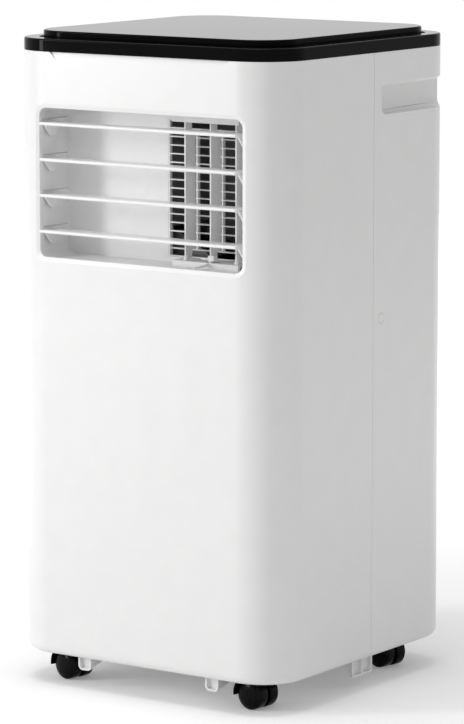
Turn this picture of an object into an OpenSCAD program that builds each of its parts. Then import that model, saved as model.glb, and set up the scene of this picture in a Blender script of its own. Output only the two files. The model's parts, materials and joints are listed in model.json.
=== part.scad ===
// Portable air conditioner: a square cabinet on four twin-wheel casters.
// Origin on the floor under the middle of the cabinet, +Z up, front outlet towards -Y. Millimetres.

/* [Cabinet] */
// Width of the cabinet
body_w = 318; // [312:1:330]
// Depth of the cabinet
body_d = 318; // [312:1:330]
// Height of the shells' bottom edge above the floor
shell_z = 30; // [29:0.5:34]
// Height of the two shells
shell_h = 591; // [588:1:620]
// Radius of the cabinet's vertical corners
corner_r = 47; // [44:1:52]
// Wall of the shells
wall = 2.6; // [2.2:0.1:3]
// Fillet along the bottom edge of the shells
skirt_r = 8; // [6:0.5:9]
// Place of the parting seam behind the middle
seam_y = 6.5; // [2:0.5:12]

/* [Top] */
// Height of the black rim
rim_h = 12.2; // [10:0.2:16]
// Height of the raised top plate above the rim
plate_h = 6.8; // [4:0.2:10]
// Margin between the rim's edge and the raised plate
plate_inset = 15; // [12:0.5:22]
// Plan corner radius of the raised plate
plate_r = 41; // [30:1:42]
// Rounding of the rim's and the plate's top edges
top_edge = 1.8; // [1:0.2:3]

/* [Outlet] */
// Clear width of the outlet duct
duct_w = 237.4; // [234:0.2:240]
// Clear height of the outlet duct
duct_h = 144.2; // [142:0.1:146]
// Height of the outlet's lower edge above the ground
duct_z = 422.8; // [420:0.1:426]
// Depth of the duct from the cabinet's front face
duct_depth = 49; // [48:0.5:52]
// Corner radius of the outlet
duct_r = 8; // [6:0.5:10]
// Step from the outlet's edge out to the duct's inner faces
duct_step = 1.4; // [1:0.1:1.6]
// Depth of the shell's return flange round the outlet
flange_depth = 6.4; // [5:0.2:8]
// Wall of the duct
duct_wall = 2; // [1.6:0.1:2.4]

/* [Louvres] */
// Number of horizontal blades
blades = 4; // [4:1:4]
// Spacing of the blades
blade_pitch = 34.8; // [34:0.1:35]
// Height of the lowest blade above the outlet's lower edge
blade_low = 24.3; // [23:0.1:25]
// Depth of a blade from its front edge to its back edge
blade_chord = 26; // [22:0.5:26]
// Thickness of a blade's front bead
blade_t = 3; // [2.4:0.1:3.4]
// Depth of the blades' pivots
blade_pivot = 15; // [14:0.5:15.5]
// Drop of the pivots under the blades
blade_drop = 6; // [5:0.2:6.6]
// Number of vertical vanes
vanes = 3; // [3:1:3]
// Spacing of the vanes
vane_pitch = 29.4; // [28:0.2:30]
// Chord of a vane
vane_chord = 16.8; // [14:0.2:17]
// Thickness of a vane
vane_t = 1.8; // [1.4:0.1:2.4]
// Depth of the vanes' pivots
vane_pivot = 31; // [30.5:0.1:31.2]
// Spacing of the guard's ribs
rib_pitch = 8.25; // [8:0.05:8.4]
// Thickness of the guard's ribs
rib_t = 1.3; // [1:0.1:1.8]

/* [Handles] */
// Height of the handle recess's lower edge
grip_z = 560.5; // [550:0.5:563]
// Height of the handle recess
grip_h = 30; // [26:0.5:32]
// Depth of the handle recess
grip_depth = 17.5; // [15:0.5:19]
// Distance of the recess's front end behind the middle
grip_y = 20; // [18:0.5:30]

/* [Casters] */
// Radius of the caster wheels
wheel_r = 15; // [14:0.1:15]
// Half of the width over a pair of wheels
wheel_half = 16; // [15:0.5:16]
// Distance between a caster's stem and its axle
trail = 2; // [1.5:0.5:3]
// Radius of a caster's stem
stem_r = 4; // [3.5:0.1:4.5]
// Sideways place of the front casters' stems
caster_x = 110; // [108:1:112]
// Sideways place of the rear casters' stems
caster_rear_x = 116; // [112:1:117]
// Place of the front stems before the middle
caster_front = 120; // [114:1:121]
// Place of the rear stems behind the middle
caster_rear = 98; // [92:1:106]

/* [Refrigeration] */
// Radius of the compressor's shell
comp_r = 52; // [45:1:54]
// Height of the compressor's shell
comp_h = 172; // [150:1:174]
// Radius of the suction accumulator
accu_r = 24; // [20:1:25]
// Thickness of the coils
coil_t = 30; // [26:1:32]
// Radius of the copper pipes
pipe_r = 4; // [3:0.25:4.5]

/* [Air] */
// Radius of the evaporator's blower wheel
evap_wheel_r = 78; // [70:1:79]
// Radius of the condenser's blower wheel
cond_wheel_r = 55; // [48:1:57]
// Blades in a blower wheel
fan_blades = 30; // [20:1:36]
// Clear radius of the exhaust port
port_r = 65; // [62:0.5:66]
// Length of the exhaust port's collar
port_len = 22; // [20:0.5:24]
// Width of the rear intake panels
intake_w = 210; // [200:1:212]
// Height of the upper intake panel
intake_h = 250; // [236:1:254]
// Height of the lower intake panel
intake2_h = 92; // [80:1:96]

/* [Hidden] */
$fn = 64;
fit = 0.05;              // radial clearance of pins in their bores
gap = 0.3;               // running clearance between moving faces
seat = 0.2;              // clearance of pieces set into openings
yf = -body_d / 2;        // front face
yb = body_d / 2;         // rear face
shell_top = shell_z + shell_h;
rim_top = shell_top + rim_h;
plate_top = rim_top + plate_h;
plate_sunk = 1;
skirt_in = skirt_r - 0.6;  // how far the bottom edge reaches inwards
ihw = body_w / 2 - wall; // inside of the side walls
ihd = body_d / 2 - wall; // inside of the front and rear walls

white = [0.94, 0.94, 0.93];
inner_white = [0.86, 0.87, 0.87];
black = [0.04, 0.04, 0.045];
copper = [0.72, 0.43, 0.26];
fin = [0.78, 0.79, 0.8];
steel = [0.62, 0.63, 0.65];

// outlet
duct_mid = duct_z + duct_h / 2;
duct_side = duct_w / 2 + duct_step;  // inner face of the duct's side wall
duct_back = yf + duct_depth;
guard_t = 2.4;
guard_w = (vanes + 1) * vane_pitch - 0.6;
guard_cells = 16;
guard_h = guard_cells * rib_pitch;
guard_z = duct_mid - guard_h / 2 - 2.4;
vane_y = yf + vane_pivot;
blade_y = yf + blade_pivot;
blade_left = -duct_w / 2 + 1.1;
blade_right = duct_w / 2 - 6.7;
lug_t = 2.2;
crank = 10;              // blade crank radius
pin_r = 1.5;
crank_pin_r = 1.2;
link_x = blade_right - lug_t - 2.6;
floor_z = duct_z - duct_step;
ceiling_z = duct_z + duct_h + duct_step;
rail_top = floor_z + 5.2;
rail_skin = 2;
rail_floor = floor_z - 4.4;
rail_depth = 27;
rail_x0 = vane_x(0) - 13.4;
rail_x1 = vane_x(vanes - 1) + 4;
top_rail_z = ceiling_z - 9.8;
fin_x = rail_x0 + 40.6;  // locating fin in front of the lower rail
fin_t = 1.2;
vane_arm = 8;
link_t = 1.8;
vane_link_t = 1.2;
vane_crank_z = rail_top - rail_skin - gap - vane_link_t;
vane_link_z = vane_crank_z - gap - vane_link_t;  // underside of the vanes' link
vane_foot = 1.6;         // height of a vane's edge above the lower rail
vane_nose = 1.6;         // how far a vane's edge stands before its pivot
vane_cut = 6.3;          // depth of the notches in a vane's rear corners
vane_cut_h = 8.6;
vane_cut_r = 3;
vane_boss_h = 7.5;       // cone round the pivot at a vane's foot
tab_z = 1;               // height of the finger tab above the vane's edge
tab_shift = 2;           // finger tab's block, right of the vane's middle
lug_start = 5.4;         // where a blade's lug leaves the blade
lug_toe = 15.6;
lug_end = 25;
lug_drop = 12.6;
lug_round = 3;
blade_tail_t = 1.4;

function blade_z(i) = duct_z + blade_low + i * blade_pitch;
function vane_x(i) = vane_pitch * (i + 1) + vane_pitch * 0.15;

// base
pan_z = 34;
pan_t = 3;
pan_half_w = body_w / 2 - skirt_in - gap;
pan_half_d = body_d / 2 - skirt_in - gap;
pan_r = corner_r - skirt_in - gap;
pan_wall = 2.2;
pan_h = 28;
socket_wall = 4;
socket_h = 24;
foot_x = 76;
foot_w = 15.5;
foot_y = pan_half_d - 4.8;
foot_len = 18;
foot_rim = 5;            // depth of a foot's rim
foot_web = 16;           // reach of a foot's side webs behind the rim
side_foot_w = 36;
side_foot_len = 22;
side_foot_x = pan_half_w - 2.8;
side_foot_web = 12;

// chassis
deck_t = 3;
deck_low = 245;
deck_step = -20;         // where the deck steps up
port_z = 253;
port_wall = 3;
port_flange = 6;
deck_high = port_z + port_r + port_wall + port_flange + 1;

// fastening
post_x = 92;
post_y = pan_half_d - 16;
post_top = 66;
lug_h = 4;
lug_half = 8;
screw_r = 2;
screw_head_r = 4;
cap_r = 5.2;
cap_t = 3;
cap_y = seam_y + 14.5;
cap_z = 364;
cup_depth = 8;
tab_t = 3;
scoop_w = 206;
scoop_h = 7.5;
scoop_d = 1.9;
grip_r0 = 8.5;
grip_r1 = 5;

// top cover
rim_skin = 3;
tongue_h = 8;
tongue_t = 2;
board_w = 130;
board_d = 44;
board_y = -95;
board_t = 1.6;
board_drop = 5;

// casters: x, y and turn at rest
casters = [[-caster_x, -caster_front, -11], [caster_x, -caster_front, -7],
    [-caster_rear_x, caster_rear, -9], [caster_rear_x, caster_rear, -13]];
hood_gap = 1.2;
hood_t = 1.8;
hood_front = 35;
hood_skirt = 2.5;        // how far the hood's back reaches below the axle
web_t = 6.4;
axle_r = 2;
dome_h = 4.5;

// compressor and pipes
comp_foot_z = 52;
comp_foot_t = 3;
comp_z = comp_foot_z + comp_foot_t;
comp_feet_at = [30, 150, 270];
comp_foot_r = comp_r + 6;
boss_r = 9;              // bosses under the compressor's grommets
comp_side = 6.9;         // space between a boss and the pan's wall
comp_x = comp_foot_r * cos(30) + boss_r + comp_side - pan_half_w + pan_wall;
comp_y = -31;
lid_r = 16;              // terminal lid on the compressor
comp_feet = [for (a = comp_feet_at) [comp_x + comp_foot_r * cos(a), comp_y + comp_foot_r * sin(a)]];
grommet_h = 10;
stud_r = 3;
accu_y = comp_y + comp_r + accu_r + 6;
accu_z = 74;
accu_h = 116;
coil_w = 214;
cond_coil_w = 2 * (caster_rear_x - stem_r - socket_wall - 17);
riser_x = -coil_w / 2 - 6;
suction_x = riser_x - 2 * pipe_r - 3;
cap_tube_x = suction_x - pipe_r - 8;
cap_tube_r = 1.3;
cap_ring_r = 15;

// air handling
case_t = 2;
hub_r = 11;
shaft_r = 4;
scroll_y0 = duct_back + duct_wall + guard_t + gap;
scroll_y1 = -32;
scroll_right = 118;
scroll_top = guard_z + guard_h + 2.6;
evap_x = -15;
evap_z = 372;
cond_x = 38;
cond_z = 128;
cond_y0 = 12;
cond_y1 = 76;
duct2_half = 70;
duct2_z = 190;
port_x = cond_x;
intake_z = deck_high + 24;
intake2_z = 76;
intake_r = 8;
panel_t = 3;
filter_t = 5;
evap_coil_y = ihd - coil_t - 22.4;
cond_coil_y = post_y - lug_half - 1.3 - coil_t;
evap_low = deck_high + deck_t;
evap_top = 590;
cond_top = 176;
tray_x0 = -coil_w / 2 - 8;
tray_x1 = coil_w / 2 + 16;
tray_y0 = evap_coil_y - 9;
tray_y1 = evap_coil_y + coil_t + 9;
tray_h = 10;
suction_y = evap_coil_y + coil_t - 7;
cap_tube_y = evap_coil_y + 3;

// rear fittings
inlet_x = -98;
inlet_z = 205;
inlet_r = 10;
drain_r = 5;
drain_head_r = 8.5;
drain_head_t = 2.2;
drains = [[-60, 49], [-70, deck_high + deck_t + 7.2]];

// electrics
ctrl_x0 = -146;
ctrl_x1 = -6;
ctrl_y0 = duct_back + duct_wall;
ctrl_y1 = -40;
ctrl_z0 = 478;
ctrl_z1 = 560;
capacitor_r = 17;
capacitor_h = 66;

// assembly grooves in the duct's left wall
slit_depth = 1;
slit_h = 1;

// ---------------------------------------------------------------- shared shapes

module round_rect(w, d, r) {
    square([w - 2 * r, d], center = true);
    square([w, d - 2 * r], center = true);
    for (mx = [-1, 1], my = [-1, 1])
        translate([mx * (w / 2 - r), my * (d / 2 - r)]) circle(r);
}

// Outline of a slab seen from its end, with both lower edges rounded
module slab_end(half, h, s) {
    translate([-half, s]) square([2 * half, h - s]);
    translate([s - half, 0]) square([2 * (half - s), h]);
    for (m = [-1, 1]) translate([m * (half - s), s]) circle(s);
}

// Slab with rounded plan corners r and a lower edge of radius s
module slab(w, d, h, r, s) {
    rotate([90, 0, 90]) linear_extrude(height = w - 2 * r, center = true) slab_end(d / 2, h, s);
    rotate([90, 0, 0]) linear_extrude(height = d - 2 * r, center = true) slab_end(w / 2, h, s);
    for (mx = [-1, 1], my = [-1, 1])
        translate([mx * (w / 2 - r), my * (d / 2 - r), 0]) rotate_extrude() {
            square([r - s, h]);
            translate([0, s]) square([r, h - s]);
            translate([r - s, s]) circle(s);
        }
}

module slab_down(w, d, h, r, s) {
    translate([0, 0, h]) mirror([0, 0, 1]) slab(w, d, h, r, s);
}

// Extrudes a drawing made in X-Z backwards from y0 to y1
module along_y(y0, y1) {
    translate([0, y1, 0]) rotate([90, 0, 0]) linear_extrude(height = y1 - y0) children();
}

// Extrudes a drawing made in Y-Z from x0 to x1
module along_x(x0, x1) {
    translate([x0, 0, 0]) rotate([90, 0, 90]) linear_extrude(height = x1 - x0) children();
}

module rod_x(x0, x1, y, z, r) {
    translate([x0, y, z]) rotate([0, 90, 0]) cylinder(h = x1 - x0, r = r);
}

module rod_y(y0, y1, x, z, r) {
    translate([x, y0, z]) rotate([-90, 0, 0]) cylinder(h = y1 - y0, r = r);
}

module rod_z(z0, z1, x, y, r) {
    translate([x, y, z0]) cylinder(h = z1 - z0, r = r);
}

module box(a, b) {
    translate(a) cube([b[0] - a[0], b[1] - a[1], b[2] - a[2]]);
}

// ---------------------------------------------------------------- cabinet shells

module cabinet_solid() {
    translate([0, 0, shell_z]) slab(body_w, body_d, shell_h, corner_r, skirt_r);
}

module cabinet_skin() {
    difference() {
        cabinet_solid();
        translate([0, 0, shell_z + skirt_r]) linear_extrude(height = shell_h)
            round_rect(2 * ihw, 2 * ihd, corner_r - wall);
        translate([0, 0, shell_z - 1]) linear_extrude(height = skirt_r + 2)
            round_rect(body_w - 2 * skirt_in, body_d - 2 * skirt_in, corner_r - skirt_in);
    }
}

// Keeps what lies before or behind the parting seam
module before_seam() {
    intersection() {
        children();
        box([-body_w, -body_d, -1], [body_w, seam_y, plate_top + 10]);
    }
}

module behind_seam() {
    intersection() {
        children();
        box([-body_w, seam_y, -1], [body_w, body_d, plate_top + 10]);
    }
}

module outlet_outline(g) {
    translate([0, duct_mid]) round_rect(duct_w + 2 * g, duct_h + 2 * g, duct_r + g);
}

// Sloped finger scoop in the front face, right under the rim
module scoop() {
    intersection() {
        along_x(-body_w / 2, body_w / 2) polygon([[yf - 1, shell_top + 1], [yf - 1, shell_top - scoop_h],
            [yf, shell_top - scoop_h], [yf + scoop_d, shell_top + 1]]);
        along_y(yf - 2, yf + wall) polygon([[-scoop_w / 2 + scoop_h, shell_top - scoop_h],
            [scoop_w / 2 - scoop_h, shell_top - scoop_h], [scoop_w / 2 + 2, shell_top + 2],
            [-scoop_w / 2 - 2, shell_top + 2]]);
    }
}

// Lug on a shell's wall that a post of the base pan is screwed to
module shell_lug(mx, my) {
    difference() {
        intersection() {
            box([mx * post_x - lug_half, my > 0 ? post_y - lug_half : -ihd - 1, post_top],
                [mx * post_x + lug_half, my > 0 ? ihd + 1 : lug_half - post_y, post_top + lug_h]);
            cabinet_solid();
        }
        rod_z(post_top - 1, post_top + lug_h + 1, mx * post_x, my * post_y, screw_r + 0.02);
    }
}

// Tab of the front shell behind the right side's screw cup
module seam_tab() {
    x0 = body_w / 2 - cup_depth - 3 - seat - tab_t;
    difference() {
        union() {
            box([x0, seam_y - 12, cap_z - 9], [x0 + tab_t, cap_y + 8, cap_z + 9]);
            box([x0, seam_y - 12, cap_z - 9], [ihw + 0.5, seam_y - 3, cap_z + 9]);
        }
        rod_x(x0 - 1, body_w, cap_y, cap_z, screw_r + 0.02);
    }
}

module front_shell() {
    color(white) {
        difference() {
            before_seam() cabinet_skin();
            along_y(yf - 1, yf + wall + 1) outlet_outline(0);
            scoop();
        }
        along_y(yf + wall, yf + flange_depth) difference() {
            outlet_outline(duct_wall);
            outlet_outline(0);
        }
        for (mx = [-1, 1]) shell_lug(mx, -1);
        both_sides() seam_tab();
    }
}

// Outline with one end square and the other rounded: r0 below, r1 above
module grip_outline(w, h, r0, r1) {
    translate([r0, 0]) square([w - r0, h]);
    translate([r1, r0]) square([w - r1, h - r0]);
    translate([0, r0]) square([w, h - r0 - r1]);
    translate([r0, r0]) circle(r0);
    translate([r1, h - r1]) circle(r1);
}

// Space of the right handle recess, grown by g
module grip_space(g) {
    len = body_d / 2 - grip_y + 20;
    intersection() {
        along_y(grip_y - g, yb + 20) translate([body_w / 2 - grip_depth - g, grip_z - g])
            grip_outline(grip_depth + g + 20, grip_h + 2 * g, grip_r0 + g, grip_r1 + g);
        along_x(body_w / 2 - grip_depth - g, body_w / 2 + 20) translate([grip_y - g, grip_z - g])
            grip_outline(len, grip_h + 2 * g, grip_r0 + g, grip_r1 + g);
    }
}

module both_sides() {
    children();
    mirror([1, 0, 0]) children();
}

module rear_shell() {
    color(white) difference() {
        union() {
            behind_seam() cabinet_skin();
            intersection() {
                cabinet_solid();
                both_sides() grip_space(wall);
            }
            both_sides() rod_x(body_w / 2 - cup_depth - 3, ihw + 0.5, cap_y, cap_z, cap_r + 2);
            for (mx = [-1, 1]) shell_lug(mx, 1);
        }
        both_sides() {
            grip_space(0);
            rod_x(body_w / 2 - cup_depth, body_w, cap_y, cap_z, cap_r + fit);
            rod_x(body_w / 2 - cup_depth - 4, body_w, cap_y, cap_z, screw_r + 0.1);
        }
        along_y(ihd - 1, yb + 1) {
            translate([0, intake_z + intake_h / 2]) round_rect(intake_w, intake_h, intake_r);
            translate([0, intake2_z + intake2_h / 2]) round_rect(intake_w, intake2_h, intake_r);
            translate([port_x, port_z]) circle(port_r + port_wall + seat);
            translate([inlet_x, inlet_z]) circle(inlet_r + seat);
            for (p = drains) translate(p) circle(drain_head_r + seat);
        }
    }
}

// ---------------------------------------------------------------- top

module top_rim() {
    inner_w = body_w - 2 * wall - 2 * seat;
    inner_d = body_d - 2 * wall - 2 * seat;
    inner_r = corner_r - wall - seat;
    color(black) {
        difference() {
            translate([0, 0, shell_top]) slab_down(body_w, body_d, rim_h, corner_r, top_edge);
            translate([0, 0, shell_top - 1]) linear_extrude(height = rim_h + 1 - rim_skin)
                round_rect(inner_w - 2 * tongue_t, inner_d - 2 * tongue_t, inner_r - tongue_t);
            translate([0, 0, rim_top - plate_sunk]) linear_extrude(height = plate_h)
                round_rect(body_w - 2 * plate_inset, body_d - 2 * plate_inset, plate_r);
        }
        translate([0, 0, shell_top - tongue_h]) linear_extrude(height = tongue_h) difference() {
            round_rect(inner_w, inner_d, inner_r);
            round_rect(inner_w - 2 * tongue_t, inner_d - 2 * tongue_t, inner_r - tongue_t);
        }
        for (mx = [-1, 1], my = [-1, 1])
            rod_z(rim_top - rim_skin - board_drop, rim_top - rim_skin,
                mx * (board_w / 2 - 5), board_y + my * (board_d / 2 - 5), 2.5);
    }
}

module top_plate() {
    color(black) translate([0, 0, rim_top - plate_sunk])
        slab_down(body_w - 2 * plate_inset - 2 * seat, body_d - 2 * plate_inset - 2 * seat,
            plate_h + plate_sunk, plate_r - seat, top_edge);
}

module display_board() {
    z1 = rim_top - rim_skin - board_drop;
    color([0.1, 0.35, 0.2]) {
        box([-board_w / 2, board_y - board_d / 2, z1 - board_t], [board_w / 2, board_y + board_d / 2, z1]);
        for (i = [-2:2]) rod_z(z1 - 0.01, z1 + 2, i * 22, board_y, 4);
    }
}

// ---------------------------------------------------------------- base

// Foot rib: a U-shaped rim with a thin panel, facing -Y, and a web behind each of the given sides
module pan_foot(w, len, web, sides, middle) {
    z0 = pan_z - len;
    wall_t = 2;
    difference() {
        along_y(0, foot_rim) translate([-w / 2, z0]) {
            translate([0, 5]) square([w, len - 5]);
            translate([5, 0]) square([w - 10, len]);
            for (x = [5, w - 5]) translate([x, 5]) circle(5);
        }
        along_y(-1, foot_rim - 1.2) translate([-w / 2 + wall_t, z0 + wall_t]) {
            translate([0, 3]) square([w - 2 * wall_t, len]);
            translate([3, 0]) square([w - 2 * wall_t - 6, len]);
            for (x = [3, w - 2 * wall_t - 3]) translate([x, 3]) circle(3);
        }
    }
    if (middle) box([-1, 0, z0 + 1], [1, foot_rim - 1, pan_z]);
    for (m = sides) along_x(m * (w / 2 - 1.5) - 1, m * (w / 2 - 1.5) + 1)
        polygon([[foot_rim - 1, z0 + 3], [foot_rim - 1 + web, z0 + 6.5],
            [foot_rim - 1 + web, pan_z], [foot_rim - 1, pan_z]]);
}

module pan_feet() {
    color(white) for (mx = [-1, 1]) {
        translate([mx * foot_x, -foot_y, 0]) pan_foot(foot_w, foot_len, foot_web, [-1, 1], false);
        translate([mx * side_foot_x, seam_y, 0]) rotate([0, 0, mx * 90])
            pan_foot(side_foot_w, side_foot_len, side_foot_web, [mx], true);
    }
}

module base_pan() {
    color(white) {
        difference() {
            union() {
                translate([0, 0, pan_z]) linear_extrude(height = pan_t)
                    round_rect(2 * pan_half_w, 2 * pan_half_d, pan_r);
                translate([0, 0, pan_z]) linear_extrude(height = pan_h) difference() {
                    round_rect(2 * pan_half_w, 2 * pan_half_d, pan_r);
                    round_rect(2 * (pan_half_w - pan_wall), 2 * (pan_half_d - pan_wall), pan_r - pan_wall);
                }
                for (c = casters) rod_z(pan_z, pan_z + socket_h, c[0], c[1], stem_r + socket_wall);
                for (mx = [-1, 1], my = [-1, 1])
                    rod_z(pan_z, post_top, mx * post_x, my * post_y, screw_head_r + 2);
                for (p = comp_feet) rod_z(pan_z, comp_foot_z - grommet_h, p[0], p[1], boss_r);
                rod_y(pan_half_d - pan_wall, yb - drain_head_t, drains[0][0], drains[0][1], drain_r + 2);
            }
            for (c = casters)
                rod_z(pan_z - 1, pan_z + socket_h - 2, c[0], c[1], stem_r + fit);
            for (mx = [-1, 1], my = [-1, 1]) {
                rod_z(pan_z - 1, post_top - 3, mx * post_x, my * post_y, screw_head_r + 0.2);
                rod_z(pan_z - 1, post_top + 1, mx * post_x, my * post_y, screw_r + 0.1);
            }
            rod_y(pan_half_d - pan_wall - 1, yb, drains[0][0], drains[0][1], drain_r + fit);
        }
    }
}

function deck_outline() = [[-ihd, deck_low], [deck_step + deck_t, deck_low], [deck_step + deck_t, deck_high],
    [ihd, deck_high], [ihd, deck_high + deck_t], [deck_step, deck_high + deck_t],
    [deck_step, deck_low + deck_t], [-ihd, deck_low + deck_t]];

module mid_deck() {
    color(inner_white) {
        difference() {
            union() {
                intersection() {
                    along_x(-ihw, ihw) polygon(deck_outline());
                    linear_extrude(height = shell_top)
                        round_rect(2 * (ihw - gap), 2 * (ihd - gap), corner_r - wall - gap);
                }
                for (y = [tray_y0, tray_y1 - deck_t])
                    box([tray_x0, y, deck_high + 1], [tray_x1, y + deck_t, deck_high + deck_t + tray_h]);
                for (x = [tray_x0, tray_x1 - deck_t])
                    box([x, tray_y0, deck_high + 1], [x + deck_t, tray_y1, deck_high + deck_t + tray_h]);
                rod_y(tray_y1 - deck_t, yb - drain_head_t, drains[1][0], drains[1][1], drain_r + 2);
            }
            rod_y(tray_y1 - deck_t - 1, yb, drains[1][0], drains[1][1], drain_r + fit);
            rod_z(deck_high - 1, deck_high + deck_t + 1, suction_x, suction_y, pipe_r + gap);
            rod_z(deck_high - 1, deck_high + deck_t + 1, cap_tube_x, cap_tube_y, cap_tube_r + gap);
        }
    }
}

// ---------------------------------------------------------------- casters

// Caster's pieces are drawn with the stem on the Z axis and the axle along Y, trail millimetres ahead
module caster_place(i) {
    translate([casters[i][0], casters[i][1], 0]) rotate([0, 0, casters[i][2]]) children();
}

module caster_hood(i) {
    ring_r = wheel_r + hood_gap + hood_t;
    reach = 4 * wheel_r;
    color(black) caster_place(i) difference() {
        union() {
            difference() {
                rod_y(-wheel_half, wheel_half, trail, wheel_r, ring_r);
                rod_y(-wheel_half - 1, wheel_half + 1, trail, wheel_r, wheel_r + hood_gap);
                box([-reach, -reach, -reach], [trail, reach, wheel_r - hood_skirt]);
                box([trail - 1, -reach, -reach], [reach, reach, wheel_r + 8]);
                translate([trail, 0, wheel_r]) rotate([0, -hood_front, 0])
                    box([0, -reach, -reach], [reach, reach, 0]);
            }
            intersection() {
                rod_y(-web_t / 2, web_t / 2, trail, wheel_r, ring_r - hood_t / 2);
                box([-reach, -reach, wheel_r - 6], [trail + 8, reach, reach]);
            }
            rod_y(-web_t / 2, web_t / 2, trail, wheel_r, 6);
            rod_z(2 * wheel_r + gap, pan_z - gap, 0, 0, stem_r + 2.5);
            rod_z(2 * wheel_r + gap, pan_z + socket_h - 2.5, 0, 0, stem_r);
        }
        rod_y(-20, 20, trail, wheel_r, axle_r + fit);
    }
}

module caster_wheels(i) {
    n = 8;
    color(black) caster_place(i) translate([trail, 0, wheel_r]) rotate([-90, 0, 0]) {
        for (m = [0, 1]) mirror([0, 0, m]) rotate_extrude() polygon(concat(
            [[0, web_t / 2 + gap], [wheel_r - 0.8, web_t / 2 + gap], [wheel_r, web_t / 2 + gap + 0.8],
                [wheel_r, wheel_half - dome_h]],
            [for (k = [1:n]) [wheel_r * cos(90 * k / n),
                wheel_half - dome_h + dome_h * sin(90 * k / n)]]));
        translate([0, 0, -web_t / 2 - 1]) cylinder(h = web_t + 2, r = axle_r);
    }
}

module caster_hood_fl() caster_hood(0);
module caster_hood_fr() caster_hood(1);
module caster_hood_rl() caster_hood(2);
module caster_hood_rr() caster_hood(3);
module caster_wheels_fl() caster_wheels(0);
module caster_wheels_fr() caster_wheels(1);
module caster_wheels_rl() caster_wheels(2);
module caster_wheels_rr() caster_wheels(3);

// ---------------------------------------------------------------- outlet

module louvre_frame() {
    color(inner_white) difference() {
        union() {
            along_y(yf + flange_depth + seat, duct_back + duct_wall) difference() {
                outlet_outline(duct_step + duct_wall);
                outlet_outline(duct_step);
            }
            along_y(duct_back, duct_back + duct_wall) outlet_outline(duct_step + 0.5);
        }
        // way to the guard
        along_y(duct_back - 1, duct_back + duct_wall + 1)
            translate([0, guard_z]) square([guard_w, guard_h]);
        // seat of the lower vane rail
        box([rail_x0 - seat, yf + rail_depth - seat, floor_z - duct_wall - 1],
            [rail_x1 + seat, duct_back, floor_z + 1]);
        for (i = [0:blades - 1]) {
            both_sides() rod_x(duct_side - 1, duct_side + duct_wall + 1,
                blade_y, blade_z(i) - blade_drop, pin_r + fit);
            // assembly groove in the left wall
            box([-duct_side - slit_depth, yf + flange_depth + 3, blade_z(i) + 0.6],
                [-duct_side + 1, duct_back - 0.5, blade_z(i) + 0.6 + slit_h]);
        }
    }
}

module outlet_guard() {
    flange = 3;
    bar_w = 1.8;
    color(inner_white) {
        // ribs and bars, drawn as the cells between them
        along_y(duct_back, duct_back + guard_t + duct_wall) translate([0, guard_z]) difference() {
            translate([seat, seat]) square([guard_w - 2 * seat, guard_h - 2 * seat]);
            for (i = [0:vanes], k = [0:guard_cells - 1]) {
                x0 = i == 0 ? bar_w : vane_x(i - 1) + bar_w / 2;
                x1 = i == vanes ? guard_w - bar_w : vane_x(i) - bar_w / 2;
                translate([x0, k * rib_pitch + rib_t / 2]) square([x1 - x0, rib_pitch - rib_t]);
            }
        }
        along_y(duct_back + duct_wall, duct_back + duct_wall + guard_t) translate([0, guard_z]) difference() {
            translate([-flange, -flange]) square([guard_w + 2 * flange, guard_h + 2 * flange]);
            translate([seat, seat]) square([guard_w - 2 * seat, guard_h - 2 * seat]);
        }
    }
}

module vane_rail_lower() {
    y0 = yf + rail_depth;
    y1 = duct_back - seat;
    tip = yf + 4.4;
    color(inner_white) difference() {
        union() {
            box([rail_x0, y0, rail_floor], [rail_x1, y0 + 1.8, rail_top]);
            box([rail_x0, y0, rail_top - rail_skin], [rail_x1, vane_y + 3, rail_top]);
            box([rail_x0, y0, rail_floor], [rail_x1, y1, rail_floor + 1.6]);
            box([rail_x0, y0, rail_floor], [rail_x0 + 1.8, y1, rail_top]);
            box([rail_x1 - 1.8, y0, rail_floor], [rail_x1, vane_y, rail_top]);
            along_x(fin_x, fin_x + fin_t) polygon([[y0 + 1, rail_top], [y0, rail_top],
                [y0 - 5, rail_top - 1.1], [y0 - 12, rail_top - 1.8], [tip, rail_top - 2.2],
                [tip, duct_z + gap], [y0 + 1, duct_z + gap]]);
        }
        for (i = [0:vanes - 1]) rod_z(rail_top - rail_skin - 1, rail_top + 1, vane_x(i), vane_y, pin_r + fit);
    }
}

module vane_rail_upper() {
    color(inner_white) difference() {
        box([rail_x0, vane_y - 3, top_rail_z], [rail_x1, vane_y + 3, ceiling_z]);
        for (i = [0:vanes - 1]) rod_z(top_rail_z - 1, top_rail_z + 5, vane_x(i), vane_y, pin_r + fit);
    }
}

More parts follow.
